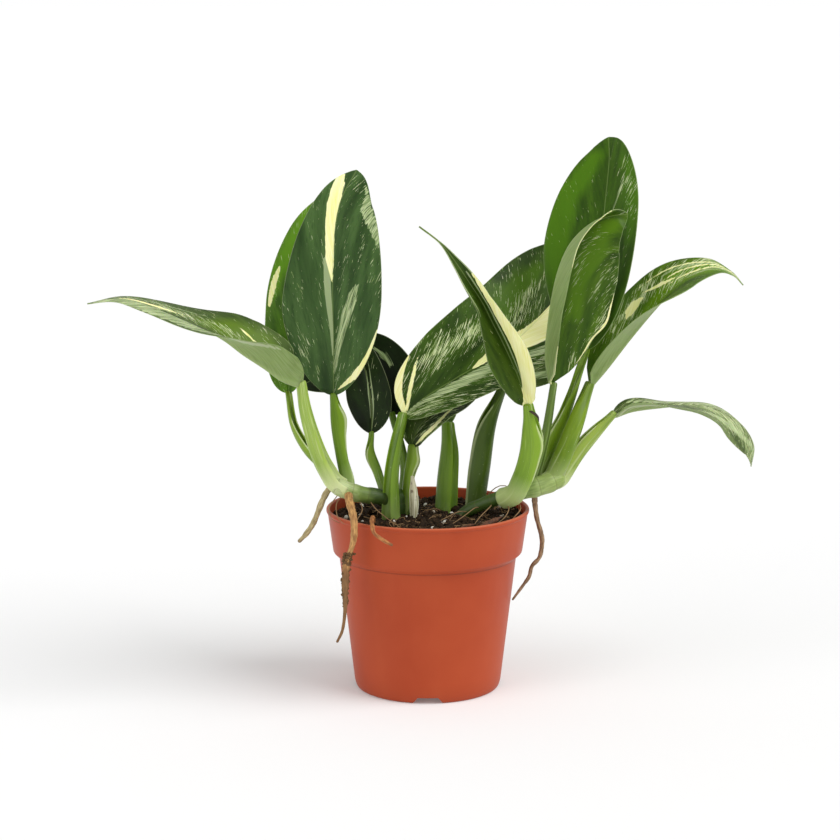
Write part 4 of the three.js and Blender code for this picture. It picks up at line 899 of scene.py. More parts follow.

# Pairs are for the two halves, the left one first, as seen from the upper face with the tip up.
# Fold, curl and lean are degrees: how far a half rises, how far its margin turns back, and how far
# it slants to the tip. Wave and keel are the heights of the margin's ripple and of the rib below. A
# base or tip is the power and the root of its outline. Veins: how far a side vein runs towards the
# tip for each millimetre outwards, at the midrib, and how fast that eases towards the margin.
# Flecks: how thickly the dashes lie. Under: the tones of the underside. A mark is its kind, its
# half widths in millimetres, and its course as (share along the midrib, share of the half's width),
# negative on the left half. Kinds: cream, mint, line (thin and pale), streaks (crowded pale dashes)
# and, last, painted light (a lighter yellow-green where the blade is lit).
USUAL_BLADE = dict(
    base=(ROUND_BASE, ROUND_BASE), tip=(BLUNT_TIP, BLUNT_TIP), curl=-8, lean=(0, 0),
    under=("#7d9354", "#93a66c"), veins=(2.4, 0.02))
BLADES = {
    "far_left": dict(
        midrib=[(-73.3, -24.2, 186.4), (-83, -27, 190), (-93, -29, 197), (-105, -32, 205), (-117, -34, 214),
                (-134, -35, 223), (-156, -34, 232), (-175, -32, 236), (-194, -30, 233)],
        face=[(0, -0.2, 1), (0, -0.1, 1), (0, -0.1, 1)], half_width=(22, 24), widest=(0.32, 0.34),
        base=(FULL_BASE, (2.2, 1.9)), tip=(SLENDER_TIP, SLENDER_TIP),
        fold=([80, 50, 8, -6, -6], [75, 54, 18, 8, 4]), curl=-10, wave=(0.5, 0.6),
        greens=("#3a4f1c", "#566c30"), flecks=0.015, keel=3.0,
        marks=[("cream", [0.2, 0.7, 0.5, 0.2], [(0.36, 0.58), (0.32, 0.52), (0.27, 0.46), (0.22, 0.4)]),
               ("cream", [0.3, 1.0, 0.8, 0.2], [(0.86, 0.1), (0.76, 0.05), (0.66, 0.1), (0.58, 0.2)]),
               ("mint", [3, 4, 5, 3.5, 3, 0.5],
                [(0.95, -0.5), (0.75, -0.6), (0.55, -0.6), (0.42, -0.7), (0.3, -0.8), (0.18, -0.9)]),
               ("line", [0.2, 0.5, 0.5, 0.3], [(0.95, 0.3), (0.8, 0.4), (0.66, 0.5), (0.5, 0.6)]),
               ("line", [0.2, 0.6, 0.6, 0.2], [(0.9, -0.2), (0.76, -0.25), (0.62, -0.3), (0.5, -0.3)]),
               ("streaks", [3, 4, 4, 2], [(0.95, 0.0), (0.75, 0.1), (0.55, 0.3), (0.35, 0.3)]),
               ("bright", [3, 9, 9, 2], [(0.1, 0.3), (0.22, 0.4), (0.36, 0.4), (0.5, 0.3)])]),
    "left_back": dict(
        midrib=[(-82, 8, 175), (-82, 11, 206), (-80, 14, 236), (-73, 18, 268), (-63, 22, 289)],
        face=[(-0.4, -0.9, 0.1), (-0.4, -0.9, 0.1)], half_width=(15, 24), widest=(0.45, 0.45),
        base=(FULL_BASE, ROUND_BASE), fold=([20, 15, 15], [30, 25, 20]), curl=-10, wave=(0.6, 0.6),
        # Its greens are a lighter, livelier yellow-green: painted light shining through the blade.
        greens=("#385a10", "#58801a"), flecks=0.005, veins=(2.6, 0.02), keel=2.0,
        marks=[("cream", [1.0, 1.8, 1.6, 0.5], [(0.43, -0.85), (0.5, -0.8), (0.57, -0.75), (0.62, -0.7)]),
               ("cream", [0.3, 0.6, 0.3], [(0.76, -0.3), (0.8, -0.27), (0.84, -0.25)]),
               ("bright", [3, 5, 6, 3], [(0.5, -0.7), (0.65, -0.6), (0.8, -0.3), (0.95, 0)])]),
    "left_upright": dict(
        midrib=[(-55, -9, 176.5), (-54.7, -12.5, 210), (-55, -14, 239), (-54, -12, 268), (-50, -8, 290),
                (-41, -3, 307)],
        face=[(0, -1, 0.1), (0, -1, 0.1)], half_width=(29.5, 29), widest=(0.4, 0.45),
        tip=((1.4, 1.35), (2.2, 1.9)), fold=([25, 14, 12], [25, 14, 12]), wave=(0.8, 0.8),
        greens=("#2f4820", "#476332"), flecks=0.008, veins=(3.6, 0.028), keel=2.4,
        marks=[("cream", [1.2, 3.0, 3.6, 3.2, 2.9, 2.6, 1.5, 0.3],
                [(0.95, -0.95), (0.91, -0.55), (0.86, -0.3), (0.78, -0.19), (0.68, -0.1), (0.6, -0.07),
                 (0.55, -0.04), (0.5, -0.01)]),
               ("line", [0.8, 1.9, 2.0, 1.7, 1.0, 0.3],
                [(0.6, -0.2), (0.56, -0.13), (0.5, -0.11), (0.4, -0.07), (0.3, -0.04), (0.18, -0.02)]),
               ("mint", [0.7, 2.4, 3.8, 3.2, 2.0, 0.5],
                [(0.95, 0.85), (0.9, 0.86), (0.83, 0.78), (0.77, 0.86), (0.72, 0.93), (0.66, 0.96)]),
               ("mint", [0.7, 1.0, 0.3], [(0.69, 0.66), (0.65, 0.6), (0.61, 0.55)]),
               ("mint", [0.6, 2.4, 3.0, 2.6, 2.0, 1.2, 0.4],
                [(0.49, 0.5), (0.45, 0.42), (0.39, 0.34), (0.32, 0.25), (0.25, 0.16), (0.17, 0.07),
                 (0.1, 0.02)]),
               ("mint", [0.2, 0.5, 0.2], [(0.5, -0.3), (0.45, -0.27), (0.4, -0.22)]),
               ("mint", [0.2, 0.5, 0.2], [(0.28, -0.88), (0.21, -0.8), (0.15, -0.65)]),
               ("cream", [0.4, 2.0, 2.6, 2.2, 1.2, 0.3],
                [(0.3, 1), (0.22, 1), (0.15, 0.97), (0.09, 0.85), (0.05, 0.6), (0.03, 0.4)])]),
    "left_dark": dict(
        midrib=[(-21, 4, 163), (-24, 16, 177), (-33, 27, 186), (-47, 33, 187), (-62, 34, 182),
                (-77, 32, 175)],
        face=[(0.6, -0.2, 0.7), (0, -0.6, 1), (-0.4, -0.8, 0.8)], half_width=(23, 22), widest=(0.5, 0.42),
        base=(ROUND_BASE, FULL_BASE), fold=([40, 12, 0], [75, 60, 35]), curl=-10, wave=(0.6, 0.6),
        # Its near-black greens are painted shade: this blade lies in the shade of the blades in front of it.
        greens=("#141e0c", "#1d2912"), flecks=-0.06, veins=(2.6, 0.02), keel=2.0,
        marks=[("mint", [0.5, 2, 0.8], [(0.46, 0.55), (0.4, 0.5), (0.33, 0.45)])]),
    "left_small": dict(
        midrib=[(-33, -4, 153), (-33, -6, 170), (-36, -2, 187), (-40, 4, 203), (-43, 8, 213)],
        face=[(0, -1, 0.2), (0, -1, 0.3)], half_width=(14, 12.5), widest=(0.36, 0.34),
        fold=([15, 10, 10], [15, 10, 10]), curl=-6, wave=(0.5, 0.5),
        greens=("#121d06", "#1c2c0c"), flecks=-0.03, veins=(2.6, 0.02), keel=1.6,
        marks=[("line", [0.1, 0.45, 0.3, 0.1], [(0.05, 0.05), (0.3, 0.1), (0.5, 0.18), (0.68, 0.3)]),
               ("line", [0.1, 0.35, 0.1], [(0.15, -0.08), (0.38, -0.06), (0.6, 0.06)])]),
    "centre_wide": dict(
        midrib=[(-14, -14, 166), (-2, -14, 176), (16, -12, 187), (36, -6, 198), (55, 4, 210), (72, 18, 225),
                (86, 29, 240), (98, 38, 256)],
        face=[(-0.26, -0.85, 0.45), (-0.26, -0.85, 0.45), (-0.3, -0.85, 0.4)], half_width=(37, 28),
        widest=(0.52, 0.52), base=((2, 2.2), (2, 2.2)), tip=((3, 2.3), BLUNT_TIP),
        fold=([31, 31, 31, 25], [31, 28, 8, 0]), curl=-6, wave=(0.8, 0.8),
        greens=("#283e0d", "#435f18"), flecks=0.02, veins=(2.2, 0.018), keel=2.8,
        marks=[("cream", [1.5, 5, 8, 10, 10.5, 10, 3],
                [(0.42, -0.05), (0.48, 0.03), (0.54, 0.13), (0.61, 0.23), (0.68, 0.28), (0.78, 0.28),
                 (0.9, 0.2)]),
               ("mint", [1.5, 3, 3.5, 3, 2],
                [(0.46, 0.45), (0.52, 0.62), (0.58, 0.75), (0.66, 0.8), (0.74, 0.8)]),
               ("cream", [0.5, 1.9, 2.3, 1.4], [(0.31, 0.0), (0.35, -0.02), (0.39, -0.04), (0.42, -0.06)]),
               ("mint", [0.8, 2.2, 3.4, 4.2, 4.2, 2],
                [(0.02, 0.06), (0.1, 0.16), (0.19, 0.22), (0.28, 0.26), (0.37, 0.28), (0.46, 0.25)]),
               ("cream", [1.2, 3.2, 4.0, 3.4, 2.6, 1.2],
                [(0.13, -1), (0.09, -1), (0.055, -0.9), (0.03, -0.72), (0.015, -0.4), (0, 0)]),
               ("cream", [0.3, 0.9, 1.3, 1.3, 0.8],
                [(0.155, -0.8), (0.13, -0.7), (0.09, -0.5), (0.05, -0.3), (0.02, -0.1)]),
               ("streaks", [3, 5, 7, 6, 4],
                [(0.05, 0.5), (0.2, 0.75), (0.35, 0.8), (0.48, 0.85), (0.6, 0.9)]),
               ("streaks", [3, 7, 6, 5], [(0.1, -0.6), (0.22, -0.65), (0.34, -0.6), (0.46, -0.4)]),
               ("streaks", [3, 6, 5], [(0.5, -0.3), (0.62, -0.35), (0.74, -0.4)]),
               ("bright", [3, 8, 8, 4], [(0.4, -0.5), (0.52, -0.5), (0.65, -0.6), (0.8, -0.6)])]),
    "centre_low": dict(
        midrib=[(-10, -8, 146), (-5, -10, 158), (6, -8, 168), (18, -2, 174), (30, 6, 178)],
        face=[(-0.3, -0.8, 0.5), (-0.2, -0.8, 0.5)], half_width=(16, 14), widest=(0.42, 0.42),
        fold=([20, 15, 10], [30, 30, 20]), curl=-6, wave=(0.5, 0.5),
        greens=("#26380c", "#3e5216"), flecks=0.03, keel=1.8,
        marks=[("cream", [0.4, 1.2, 1.5, 1.3, 0.8, 0.3],
                [(0.06, 0.6), (0.14, 0.72), (0.29, 0.78), (0.42, 0.7), (0.56, 0.55), (0.7, 0.45)]),
               ("streaks", [3, 4, 3], [(0.2, 0.5), (0.45, 0.5), (0.7, 0.4)])]),
    "centre_narrow": dict(
        midrib=[(57, -36, 175), (51, -41, 193), (43, -45, 211), (36, -49, 225), (30, -53, 237),
                (23, -57, 248), (16, -62, 259), (7, -67, 271), (-5, -73, 281)],
        face=[(-0.1, -1, -0.1), (0.15, -1, 0), (0.3, -1, 0)], half_width=(16, 17.5), widest=(0.28, 0.3),
        tip=((1.4, 0.45), (1.4, 0.45)),
        fold=([46, 46, 58, 80, 78], [52, 58, 66, 78, 76]), curl=-10, wave=(0.5, 0.5),
        greens=("#273f08", "#405a12"), under=("#3c4a2c", "#6d7b52"), flecks=-0.05, veins=(3.4, 0.03),
        keel=2.2,
        marks=[("cream", [5, 8, 7.5, 6, 4.5, 2.5, 0.5],
                [(0.0, 0.75), (0.1, 0.72), (0.22, 0.72), (0.36, 0.72), (0.48, 0.78), (0.58, 0.85),
                 (0.68, 0.95)]),
               ("line", [0.2, 0.6, 0.7, 0.6, 0.4],
                [(0.1, 0.14), (0.28, 0.18), (0.42, 0.24), (0.56, 0.34), (0.7, 0.5)]),
               ("line", [0.2, 0.4, 0.4, 0.2], [(0.5, -0.8), (0.6, -0.9), (0.75, -1), (0.95, -1)]),
               ("line", [0.3, 0.5, 0.4, 0.2], [(0.62, 0.9), (0.72, 1), (0.86, 1), (0.95, 1)])]),
    "right_tall": dict(
        midrib=[(92, -5, 203), (96, -6, 232), (100, -1, 260), (103, 8, 286), (106, 19, 311), (106, 27, 324)],
        face=[(-0.45, -0.89, 0), (-0.45, -0.89, 0.1)], half_width=(33, 27), widest=(0.46, 0.52),
        tip=((1.75, 1.6), (1.8, 1.7)), fold=([25, 25, 22], [25, 25, 22]), wave=(0.8, 0.8),
        # Its greens are a lighter, livelier yellow-green: painted light shining through the blade.
        greens=("#2d4a08", "#426410"), flecks=-0.03, veins=(3.0, 0.024), keel=2.3,
        marks=[("mint", [0.2, 0.7, 0.6, 0.2], [(0.79, 0.62), (0.73, 0.48), (0.68, 0.36), (0.63, 0.26)]),
               ("streaks", [3, 5, 3], [(0.6, 0.8), (0.72, 0.75), (0.84, 0.7)]),
               ("bright", [4, 7, 8, 5], [(0.2, -0.7), (0.45, -0.8), (0.7, -0.8), (0.9, -0.5)]),
               ("bright", [3, 5, 4], [(0.5, 0.85), (0.68, 0.85), (0.85, 0.8)])]),
    "right_front": dict(
        midrib=[(72, -16, 184.5), (69, -20, 201), (69.5, -22, 217), (71.5, -24, 236), (75, -27, 253),
                (81, -29, 267), (90.5, -30, 277), (101.5, -29.5, 282.5), (113, -28, 284)],
        face=[(0.83, -0.55, 0), (0.83, -0.55, 0), (0.7, -0.65, -0.25)], half_width=(19, 36),
        widest=(0.42, 0.42), base=(ROUND_BASE, FULL_BASE), tip=(BLUNT_TIP, (1.5, 1.4)), lean=(0, 22),
        fold=([57, 57, 57], [57, 57, 50]), wave=(0.7, 0.3),
        greens=("#33510c", "#4e6e14"), flecks=-0.012, veins=(3.0, 0.024), keel=2.1,
        marks=[("cream", [0.3, 0.9, 0.9, 0.3], [(0.62, -1), (0.72, -1), (0.82, -1), (0.92, -0.95)]),
               ("cream", [1.2, 1.2, 0.4], [(0.0, -0.8), (0.1, -0.95), (0.22, -1)]),
               ("cream", [0.5, 1.4, 1.2, 0.3], [(0.03, 0.9), (0.14, 0.97), (0.26, 1), (0.36, 1)]),
               ("mint", [0.3, 0.9, 0.4], [(0.5, 0.75), (0.42, 0.7), (0.34, 0.6)]),
               ("streaks", [3, 4, 4, 3, 1],
                [(0.04, 0.7), (0.18, 0.85), (0.35, 0.9), (0.52, 0.9), (0.7, 0.9)]),
               ("streaks", [2, 4, 2], [(0.5, 0.3), (0.65, 0.3), (0.8, 0.3)]),
               ("bright", [3, 7, 7, 4], [(0.3, 0.4), (0.5, 0.4), (0.7, 0.5), (0.9, 0.4)])]),
    "right_arched": dict(
        midrib=[(95, 6, 181), (105, 6, 192), (120, 8, 210), (136, 11, 228), (151, 16, 242), (168, 20, 248),
                (180, 24, 244), (187, 26, 237)],
        face=[(-0.8, -0.16, 0.55), (-0.6, -0.2, 0.75), (-0.1, -0.25, 0.97), (0.4, -0.2, 0.9)],
        half_width=(25, 25), widest=(0.4, 0.4), tip=(SLENDER_TIP, SLENDER_TIP),
        fold=([50, 36, 26, 15], [55, 40, 15, 5]), curl=-10, wave=(0.7, 0.7),
        greens=("#40600c", "#5b7a1a"), flecks=0.02, veins=(2.6, 0.02), keel=2.6,
        marks=[("cream", [1.0, 3.0, 3.2, 0.8], [(0.35, -0.45), (0.38, -0.5), (0.42, -0.52), (0.47, -0.5)]),
               ("cream", [0.3, 1.0, 1.2, 0.3], [(0.49, -0.6), (0.53, -0.5), (0.58, -0.38), (0.64, -0.25)]),
               ("cream", [0.2, 0.5, 0.5, 0.2], [(0.5, -0.8), (0.62, -0.72), (0.76, -0.6), (0.92, -0.4)]),
               ("cream", [0.2, 0.5, 0.4, 0.2], [(0.56, -0.45), (0.68, -0.4), (0.84, -0.3), (0.96, -0.1)]),
               ("cream", [0.2, 0.4, 0.4, 0.2], [(0.6, -0.2), (0.72, -0.1), (0.85, -0.05), (0.97, 0.1)]),
               ("mint", [0.4, 1.2, 1.2, 0.8, 0.4],
                [(0.6, -0.6), (0.7, -0.55), (0.8, -0.4), (0.9, -0.2), (0.97, 0)]),
               ("mint", [0.4, 1.0, 1.0, 0.4], [(0.62, 0.1), (0.72, 0.15), (0.82, 0.2), (0.93, 0.15)]),
               ("streaks", [4, 7, 7, 6], [(0.3, -0.6), (0.52, -0.5), (0.75, -0.3), (0.95, 0)]),
               ("bright", [4, 7, 8, 5], [(0.4, -0.1), (0.6, -0.1), (0.78, 0), (0.95, 0)])]),
    "right_low": dict(
        midrib=[(109, -2, 164), (120, 0, 167), (137, 4, 168), (155, 9, 168), (172, 14, 164), (187, 18, 154),
                (195, 21, 141), (194, 23, 128)],
        face=[(0, -0.1, 1), (0, -0.1, 1), (0.3, -0.1, 1), (1, -0.2, 0.3)], half_width=(11, 21),
        widest=(0.36, 0.5), base=(FULL_BASE, ROUND_BASE), tip=((2.2, 1.3), (2.4, 1.3)),
        fold=([32, 4, 0, -5], [50, 10, -25, -30]), wave=(1, 1),
        greens=("#3f5022", "#74864e"), flecks=0.03, keel=2.2,
        # On this blade the mint marks are painted sheen: the greyish-white reflection of the light on its
        # top.
        marks=[("mint", [1, 2.5, 3, 1.5], [(0.1, -0.7), (0.35, -0.6), (0.65, -0.5), (0.95, -0.3)]),
               ("mint", [0.5, 2.4, 2.2, 1], [(0.4, 0.6), (0.55, 0.5), (0.75, 0.45), (0.95, 0.2)]),
               ("mint", [0.6, 1.6, 1.2, 0.4], [(0.03, 0.3), (0.1, 0.5), (0.18, 0.5), (0.26, 0.4)]),
               ("streaks", [6, 9, 10, 7], [(0.08, 0), (0.35, 0), (0.65, 0), (0.95, 0)])]),
    "back_right": dict(
        midrib=[(45.5, 22.5, 177), (58, 27, 183), (72, 34, 190), (84, 42, 197), (93, 51, 202)],
        face=[(-0.2, -0.8, 0.6), (-0.2, -0.7, 0.7)], half_width=(16, 17), widest=(0.42, 0.46),
        fold=([25, 20, 10], [25, 15, 10]), wave=(0.5, 0.5),
        greens=("#30420f", "#4a5e26"), flecks=0.02, keel=2.2,
        marks=[("mint", [1, 3, 3, 1], [(0.2, 0.1), (0.32, 0.35), (0.42, 0.6), (0.5, 0.85)])]),
    "back_left": dict(
        midrib=[(12, 20, 154), (5, 38, 163), (-2, 56, 167), (-8, 74, 165)],
        face=[(0, -0.5, 1), (0, 0, 1)], half_width=(15, 15), widest=(0.42, 0.42),
        fold=([30, 20, 10], [30, 20, 10]), wave=(0.5, 0.5),
        greens=("#2b410f", "#456019"), flecks=0.02, keel=2.6,
        marks=[("cream", [0.5, 1.8, 2.0, 0.6], [(0.25, 0.3), (0.4, 0.4), (0.6, 0.5), (0.78, 0.6)])]),
}


def half_blade(leaf, hand, s, tangent, normal, side):
    """Offsets from the midrib, distances out and half widths of one half of a blade.

    The half width is W (1 - t^power)^(1/root), t running from the widest place to the base or tip.
    Going out, the slope turns from the fold's angle by the curl, and is eased near the midrib.
    """
    sign = 1 if hand else -1
    widest = leaf["widest"][hand]
    before = s < widest
    t = np.where(before, (widest - s) / widest, (s - widest) / (1 - widest))
    (base_power, base_root), (tip_power, tip_root) = leaf["base"][hand], leaf["tip"][hand]
    power, root = np.where(before, base_power, tip_power), np.where(before, base_root, tip_root)
    outline = (1 - t**power) ** (1 / root)
    half = np.maximum(leaf["half_width"][hand] * outline, BASE_HALF + (TIP_HALF - BASE_HALF) * s)
    opening = np.minimum(half / FOLD_FULL_AT, 1)
    fold = np.radians(along(leaf["fold"][hand], s)) * opening
    curl = math.radians(leaf["curl"]) * opening
    lean = math.radians(leaf["lean"][hand])
    u = np.linspace(0, 1, CELLS_PER_HALF + 1) ** 1.15  # a little closer together near the rib
    out_place = u * half[:, None]
    middle = (out_place[:, 1:] + out_place[:, :-1]) / 2
    angle = fold[:, None] * (1 - np.exp(-middle / CREASE_HALF)) + curl[:, None] * (u[1:] + u[:-1]) / 2
    steps = np.diff(out_place, axis=1)
    zero = np.zeros((len(s), 1))
    out = np.concatenate([zero, np.cumsum(steps * np.cos(angle), axis=1)], axis=1)
    rise = np.concatenate([zero, np.cumsum(steps * np.sin(angle), axis=1)], axis=1)
    edge_angle = fold[:, None] + curl[:, None] * u
    beat = np.sin(2 * math.pi * (WAVES * s[:, None] + 0.3 * hand))
    ripple = leaf["wave"][hand] * outline[:, None] * u**2 * beat
    out = out - ripple * np.sin(edge_angle)
    rise = rise + ripple * np.cos(edge_angle)
    across = side[:, None] * (sign * out * math.cos(lean))[..., None]
    tipward = tangent[:, None] * (out_place * math.sin(lean))[..., None]
    offset = across + tipward + normal[:, None] * rise[..., None]
    return offset, sign * out_place, np.broadcast_to(half[:, None], out_place.shape)


def mark_distance(x, a, half, length, course, widths):
    """Signed distance in millimetres to a mark, positive inside it, on the flattened blade."""
    best = np.full(x.shape, -MARK_REACH)
    for (s0, u0), (s1, u1), w0, w1 in zip(course[:-1], course[1:], widths[:-1], widths[1:]):
        ax, ay = s0 * length, u0 * half
        bx, by = s1 * length - ax, u1 * half - ay
        along_mark = np.clip(((x - ax) * bx + (a - ay) * by) / (bx**2 + by**2 + 1e-9), 0, 1)
        gap = np.hypot(x - ax - along_mark * bx, a - ay - along_mark * by)
        best = np.maximum(best, w0 + (w1 - w0) * along_mark - gap)
    return best


def blade_surface(leaf, seed):
    """Closed points and faces of a blade, and the numbers that its material reads at each point."""
    turn = np.linspace(0, 1, BLADE_ROWS + 1)
    s = (turn + (1 - np.cos(math.pi * turn)) / 2) / 2
    at, tangent, normal, side, length = framed_walk(leaf["midrib"], leaf["face"], s)
    left, right = (half_blade(leaf, hand, s, tangent, normal, side) for hand in (0, 1))
    offset, a, half = (np.concatenate([m[:, :0:-1], n], axis=1) for m, n in zip(left, right))
    middle = at[:, None] + offset
    facing = np.cross(np.gradient(middle, axis=1), np.gradient(middle, axis=0))
    facing /= np.linalg.norm(facing, axis=2, keepdims=True) + 1e-12
    distance = np.abs(a)
    thick = EDGE_THICKNESS + (RIB_THICKNESS - EDGE_THICKNESS) * np.exp(-distance / RIB_SPREAD)
    fade = (1 - s)[:, None]
    groove = GROOVE_DEPTH * (0.3 + fade) * np.exp(-((distance / CREASE_HALF) ** 2)) * np.minimum(half / 6, 1)
    keel = leaf["keel"] * (0.1 + 0.9 * fade**3) * np.exp(-((distance / (0.8 + 1.4 * fade)) ** 2))
    upper = middle + facing * (thick / 2 - groove)[..., None]
    lower = middle - facing * (thick / 2 + keel * np.minimum(half / 3, 1))[..., None]

    rows, columns = a.shape
    points = np.concatenate([upper.reshape(-1, 3), lower.reshape(-1, 3)])
    top = grid_faces(rows, columns, closed=False)
    under = rows * columns
    rim = np.concatenate([
        np.arange(columns), np.arange(1, rows) * columns + columns - 1,
        (rows - 1) * columns + np.arange(columns - 2, -1, -1), np.arange(rows - 2, 0, -1) * columns])
    onward = np.roll(rim, -1)
    band = np.stack([rim, onward, onward + under, rim + under], axis=-1)
    faces = np.concatenate([top, top[:, ::-1] + under, band[:, ::-1]])

    x = np.broadcast_to(s[:, None] * length, a.shape)
    slope, ease = leaf["veins"]
    stretch = math.hypot(1, slope - ease * distance.max())
    vein = (x - slope * distance + ease * distance**2) / stretch
    numbers = {
        "veins": np.stack([vein, a * stretch, np.full(a.shape, PATTERN_STEP * seed)], axis=-1),
        "margin": half - distance,
        "rib": distance,
        "under": np.zeros(a.shape),
    }
    for kind in MARK_KINDS:
        distances = [mark_distance(x, a, half, length, course, widths)
                     for colour, widths, course in leaf["marks"] if colour == kind]
        numbers[kind] = np.max([np.full(a.shape, -MARK_REACH), *distances], axis=0)
    doubled = {name: np.concatenate([v.reshape(rows * columns, -1)] * 2) for name, v in numbers.items()}
    doubled["under"][rows * columns :] = 1
    return points, faces, doubled


def leaf_skin(name, leaf):
    """Leathery aroid leaf: waxy satin green above, dull grey-green below, in living variegation.

    Patterns are in millimetres across and along the side veins; real dashes are 0.5 mm wide.
    """
    material, tree, shader = start_material(name)
    veins = point_value(tree, "veins", "Vector")
    margin, rib, under, cream, mint, line, streaks, bright = (
        point_value(tree, number) for number in ("margin", "rib", "under", *MARK_KINDS))

    # Green tissue: soft clouds and faint tone changes from vein to vein, and painted light: a lighter
    # yellow-green where the blade is lit.
    dark, light = (linear(green) for green in leaf["greens"])
    deep = tinted(dark, 0.5, 0.55, 0.5)
    lit_green = tinted(light, 1.2, 1.3, 0.35)
    cloud = pattern(tree, veins, (11, 22, 1), 2.0)
    bands = pattern(tree, veins, (3.5, 60, 1), 2.0)
    fine = pattern(tree, veins, (0.9, 16, 1), 3.0)
    tone = painted(tree, dark, light, cloud, 0.38, 0.62)
    tone = painted(tree, tone, light, bands, 0.4, 0.7, 0.4)
    tone = painted(tree, tone, deep, pattern(tree, veins, (17, 34, 1), 2.0), 0.5, 0.3, 0.7)
    tone = painted(tree, tone, deep, pattern(tree, veins, (1.6, 5, 1), 4.0), 0.46, 0.3, 0.5)
    tone = painted(tree, tone, dark, fine, 0.45, 0.3, 0.35)
    # Painted light: where the blade is marked as lit, its green turns lighter and yellower.
    lit_zone = summed(tree, -4.0, (bright, 1.0), (cloud, 8.0))
    tone = painted(tree, tone, lit_green, lit_zone, -3.0, 3.0, 0.85)

    # Pale dashes and dots, crowded in the streaked zones. Each kind has its colour, its size and
    # detail, how much crowding adds to it, and where it starts, is full and how well it covers.
    crowding = add_node(tree, "ShaderNodeMapRange", {
        "Value": streaks, "From Min": -6.0, "From Max": 4.0, "To Max": 0.12})
    loose = pattern(tree, veins, (15, 22, 1), 1.0)
    crowd = summed(tree, leaf["flecks"] - 0.15, (loose, 0.3), (crowding.outputs[0], 1.0))
    dash_tone = painted(tree, linear("#97ac66"), linear("#e2e8bb"), fine, 0.35, 0.6)
    for colour, size, detail, weight, low, high, cover in (
        (dash_tone, (0.45, 8, 1), 2.0, 1.0, 0.68, 0.71, 0.9),
        (dash_tone, (1.1, 14, 1), 3.0, 1.0, 0.75, 0.78, 0.8),
        (dash_tone, (0.7, 34, 1), 2.0, 0.6, 0.71, 0.75, 0.55),
        (linear("#bccb90"), (0.6, 1.8, 1), 1.0, 0.5, 0.75, 0.8, 0.7),
    ):
        dashes = summed(tree, 0.0, (pattern(tree, veins, size, detail), 1.0), (crowd, weight))
        tone = painted(tree, tone, colour, dashes, low, high, cover)

    # Mint sectors with fibrous ends, and cream sectors with crisp edges.
    fray = pattern(tree, veins, (1.2, 20, 1), 3.0)
    mint_edge = summed(tree, -3.0, (mint, 1.0), (fray, 6.0))
    cream_edge = summed(tree, -0.8, (cream, 1.0), (fray, 1.6))
    fibres = add_node(tree, "ShaderNodeMapRange", {
        "Value": pattern(tree, veins, (0.6, 14, 1), 2.0), "From Min": 0.34, "From Max": 0.46, "To Max": 0.9})
    mint_tone = painted(tree, linear("#7f9260"), linear("#c6d3a0"), fine, 0.4, 0.6)
    cream_tone = painted(tree, linear("#ecea92"), linear("#fbfac8"), fine, 0.3, 0.7)
    tone = painted(tree, tone, mint_tone, mint_edge, -0.2, 0.3, fibres.outputs[0])
    tone = painted(tree, tone, linear("#9fae80"), line, -0.1, 0.1, 0.85)
    tone = painted(tree, tone, cream_tone, cream_edge, -0.1, 0.15)
    tone = painted(tree, tone, linear("#93a862"), rib, 0.45, 0.2, 0.25)
    tone = painted(tree, tone, linear("#bfcb97"), margin, 0.36, 0.2, 0.25)

    # The dull underside, where the marks show through and the rib is paler.
    below = painted(tree, *(linear(green) for green in leaf["under"]), fine, 0.35, 0.7)
    below = painted(tree, below, linear("#c3cba8"), line, -0.2, 0.1, 0.8)
    below = painted(tree, below, linear("#d9dba8"), cream_edge, -0.3, 0.3, 0.6)
    below = painted(tree, below, linear("#b6c09c"), mint_edge, -0.3, 0.3, 0.75)
    below = painted(tree, below, linear("#a3b57a"), rib, 2.2, 0.6, 0.5)

    height = summed(tree, 0.0, (fine, 0.5), (bands, 1.0))
    connect(tree, shader, {
        "Base Color": painted(tree, tone, below, under),
        "Roughness": summed(tree, 0.34, (fine, 0.16), (under, 0.12)), "Specular IOR Level": 0.15,
        "Subsurface Weight": 0.1, "Subsurface Radius": (0.4, 1.0, 0.1), "Subsurface Scale": 1.5 * MM,
        "Normal": relief(tree, height, 0.3, 0.3)})
    return material


for seed, (name, shape) in enumerate(BLADES.items(), start=1):
    leaf = {**USUAL_BLADE, **shape}
    points, faces, numbers = blade_surface(leaf, seed)
    skin_material = leaf_skin(f"leathery leaf {name}", leaf)
    piece = add_piece(f"blade_{name}", points, faces, skin_material, [f"leaf_{name}"])
    for attribute, values in numbers.items():
        set_attribute(piece, attribute, "FLOAT_VECTOR" if attribute == "veins" else "FLOAT", values)

# Studio
# A plain white floor without an edge, lit by two wide soft suns and a bright surround. The camera
# stands at the photo's angle. Places here are in metres.

FLOOR_HALF_WIDTH = 100.0
FLOOR_NEAR = -6.0
FLOOR_FAR = 300.0

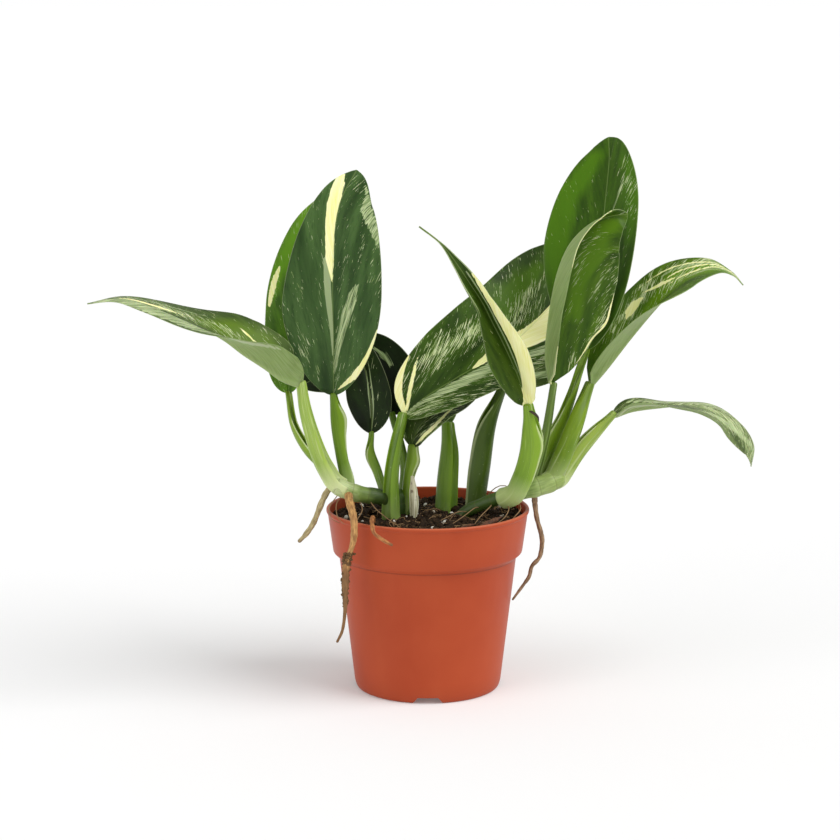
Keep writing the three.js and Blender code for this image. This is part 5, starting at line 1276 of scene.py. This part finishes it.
# Matt white paper, which glows a little so that it stays white under the soft light.
floor_white, tree, shader = start_material("matt white floor")
connect(tree, shader, {
    "Base Color": (0.8, 0.8, 0.8, 1), "Roughness": 0.9, "Specular IOR Level": 0.0,
    "Emission Color": (1, 1, 1, 1), "Emission Strength": 0.12})
floor_mesh = bpy.data.meshes.new("floor")
floor_corners = [(x, y, 0) for x, y in (
    (-FLOOR_HALF_WIDTH, FLOOR_NEAR), (FLOOR_HALF_WIDTH, FLOOR_NEAR), (FLOOR_HALF_WIDTH, FLOOR_FAR),
    (-FLOOR_HALF_WIDTH, FLOOR_FAR))]
floor_mesh.from_pydata(floor_corners, [], [(0, 1, 2, 3)])
floor_mesh.materials.append(floor_white)
floor = bpy.data.objects.new("floor", floor_mesh)
bpy.context.scene.collection.objects.link(floor)

# The surround is white where the camera sees it, past the floor's far edge, and dimmer as a light.
world = bpy.data.worlds.new("studio surround")
world.use_nodes = True
seen = add_node(world.node_tree, "ShaderNodeLightPath", {}).outputs["Is Camera Ray"]
strength = add_node(world.node_tree, "ShaderNodeMapRange", {"Value": seen, "To Min": 0.56, "To Max": 1.0})
background = world.node_tree.nodes["Background"]
connect(world.node_tree, background, {"Color": (1, 1, 1, 1), "Strength": strength.outputs[0]})
bpy.context.scene.world = world


def add_sun(name, place, spread, strength):
    """A sun that shines from a place towards the origin, as wide as its spread in degrees."""
    light = bpy.data.lights.new(name, "SUN")
    light.angle = math.radians(spread)
    light.energy = strength
    lamp = bpy.data.objects.new(name, light)
    lamp.rotation_euler = (-Vector(place)).to_track_quat("-Z", "Y").to_euler()
    bpy.context.scene.collection.objects.link(lamp)


add_sun("key from the right", (1.2, -0.5, 1.3), 45, 2.1)
add_sun("fill from the left", (-1.3, -0.9, 0.5), 50, 0.9)

CAMERA_PLACE = (-0.0046, -1.350, 0.4018)
CAMERA_PITCH = math.radians(10.14)
camera_data = bpy.data.cameras.new("camera")
camera_data.lens = 100
camera_data.sensor_width = 36
camera = bpy.data.objects.new("camera", camera_data)
camera.location = CAMERA_PLACE
camera.rotation_euler = (math.pi / 2 - CAMERA_PITCH, 0, 0)
bpy.context.scene.collection.objects.link(camera)
bpy.context.scene.camera = camera
bpy.context.scene.view_settings.view_transform = "Standard"
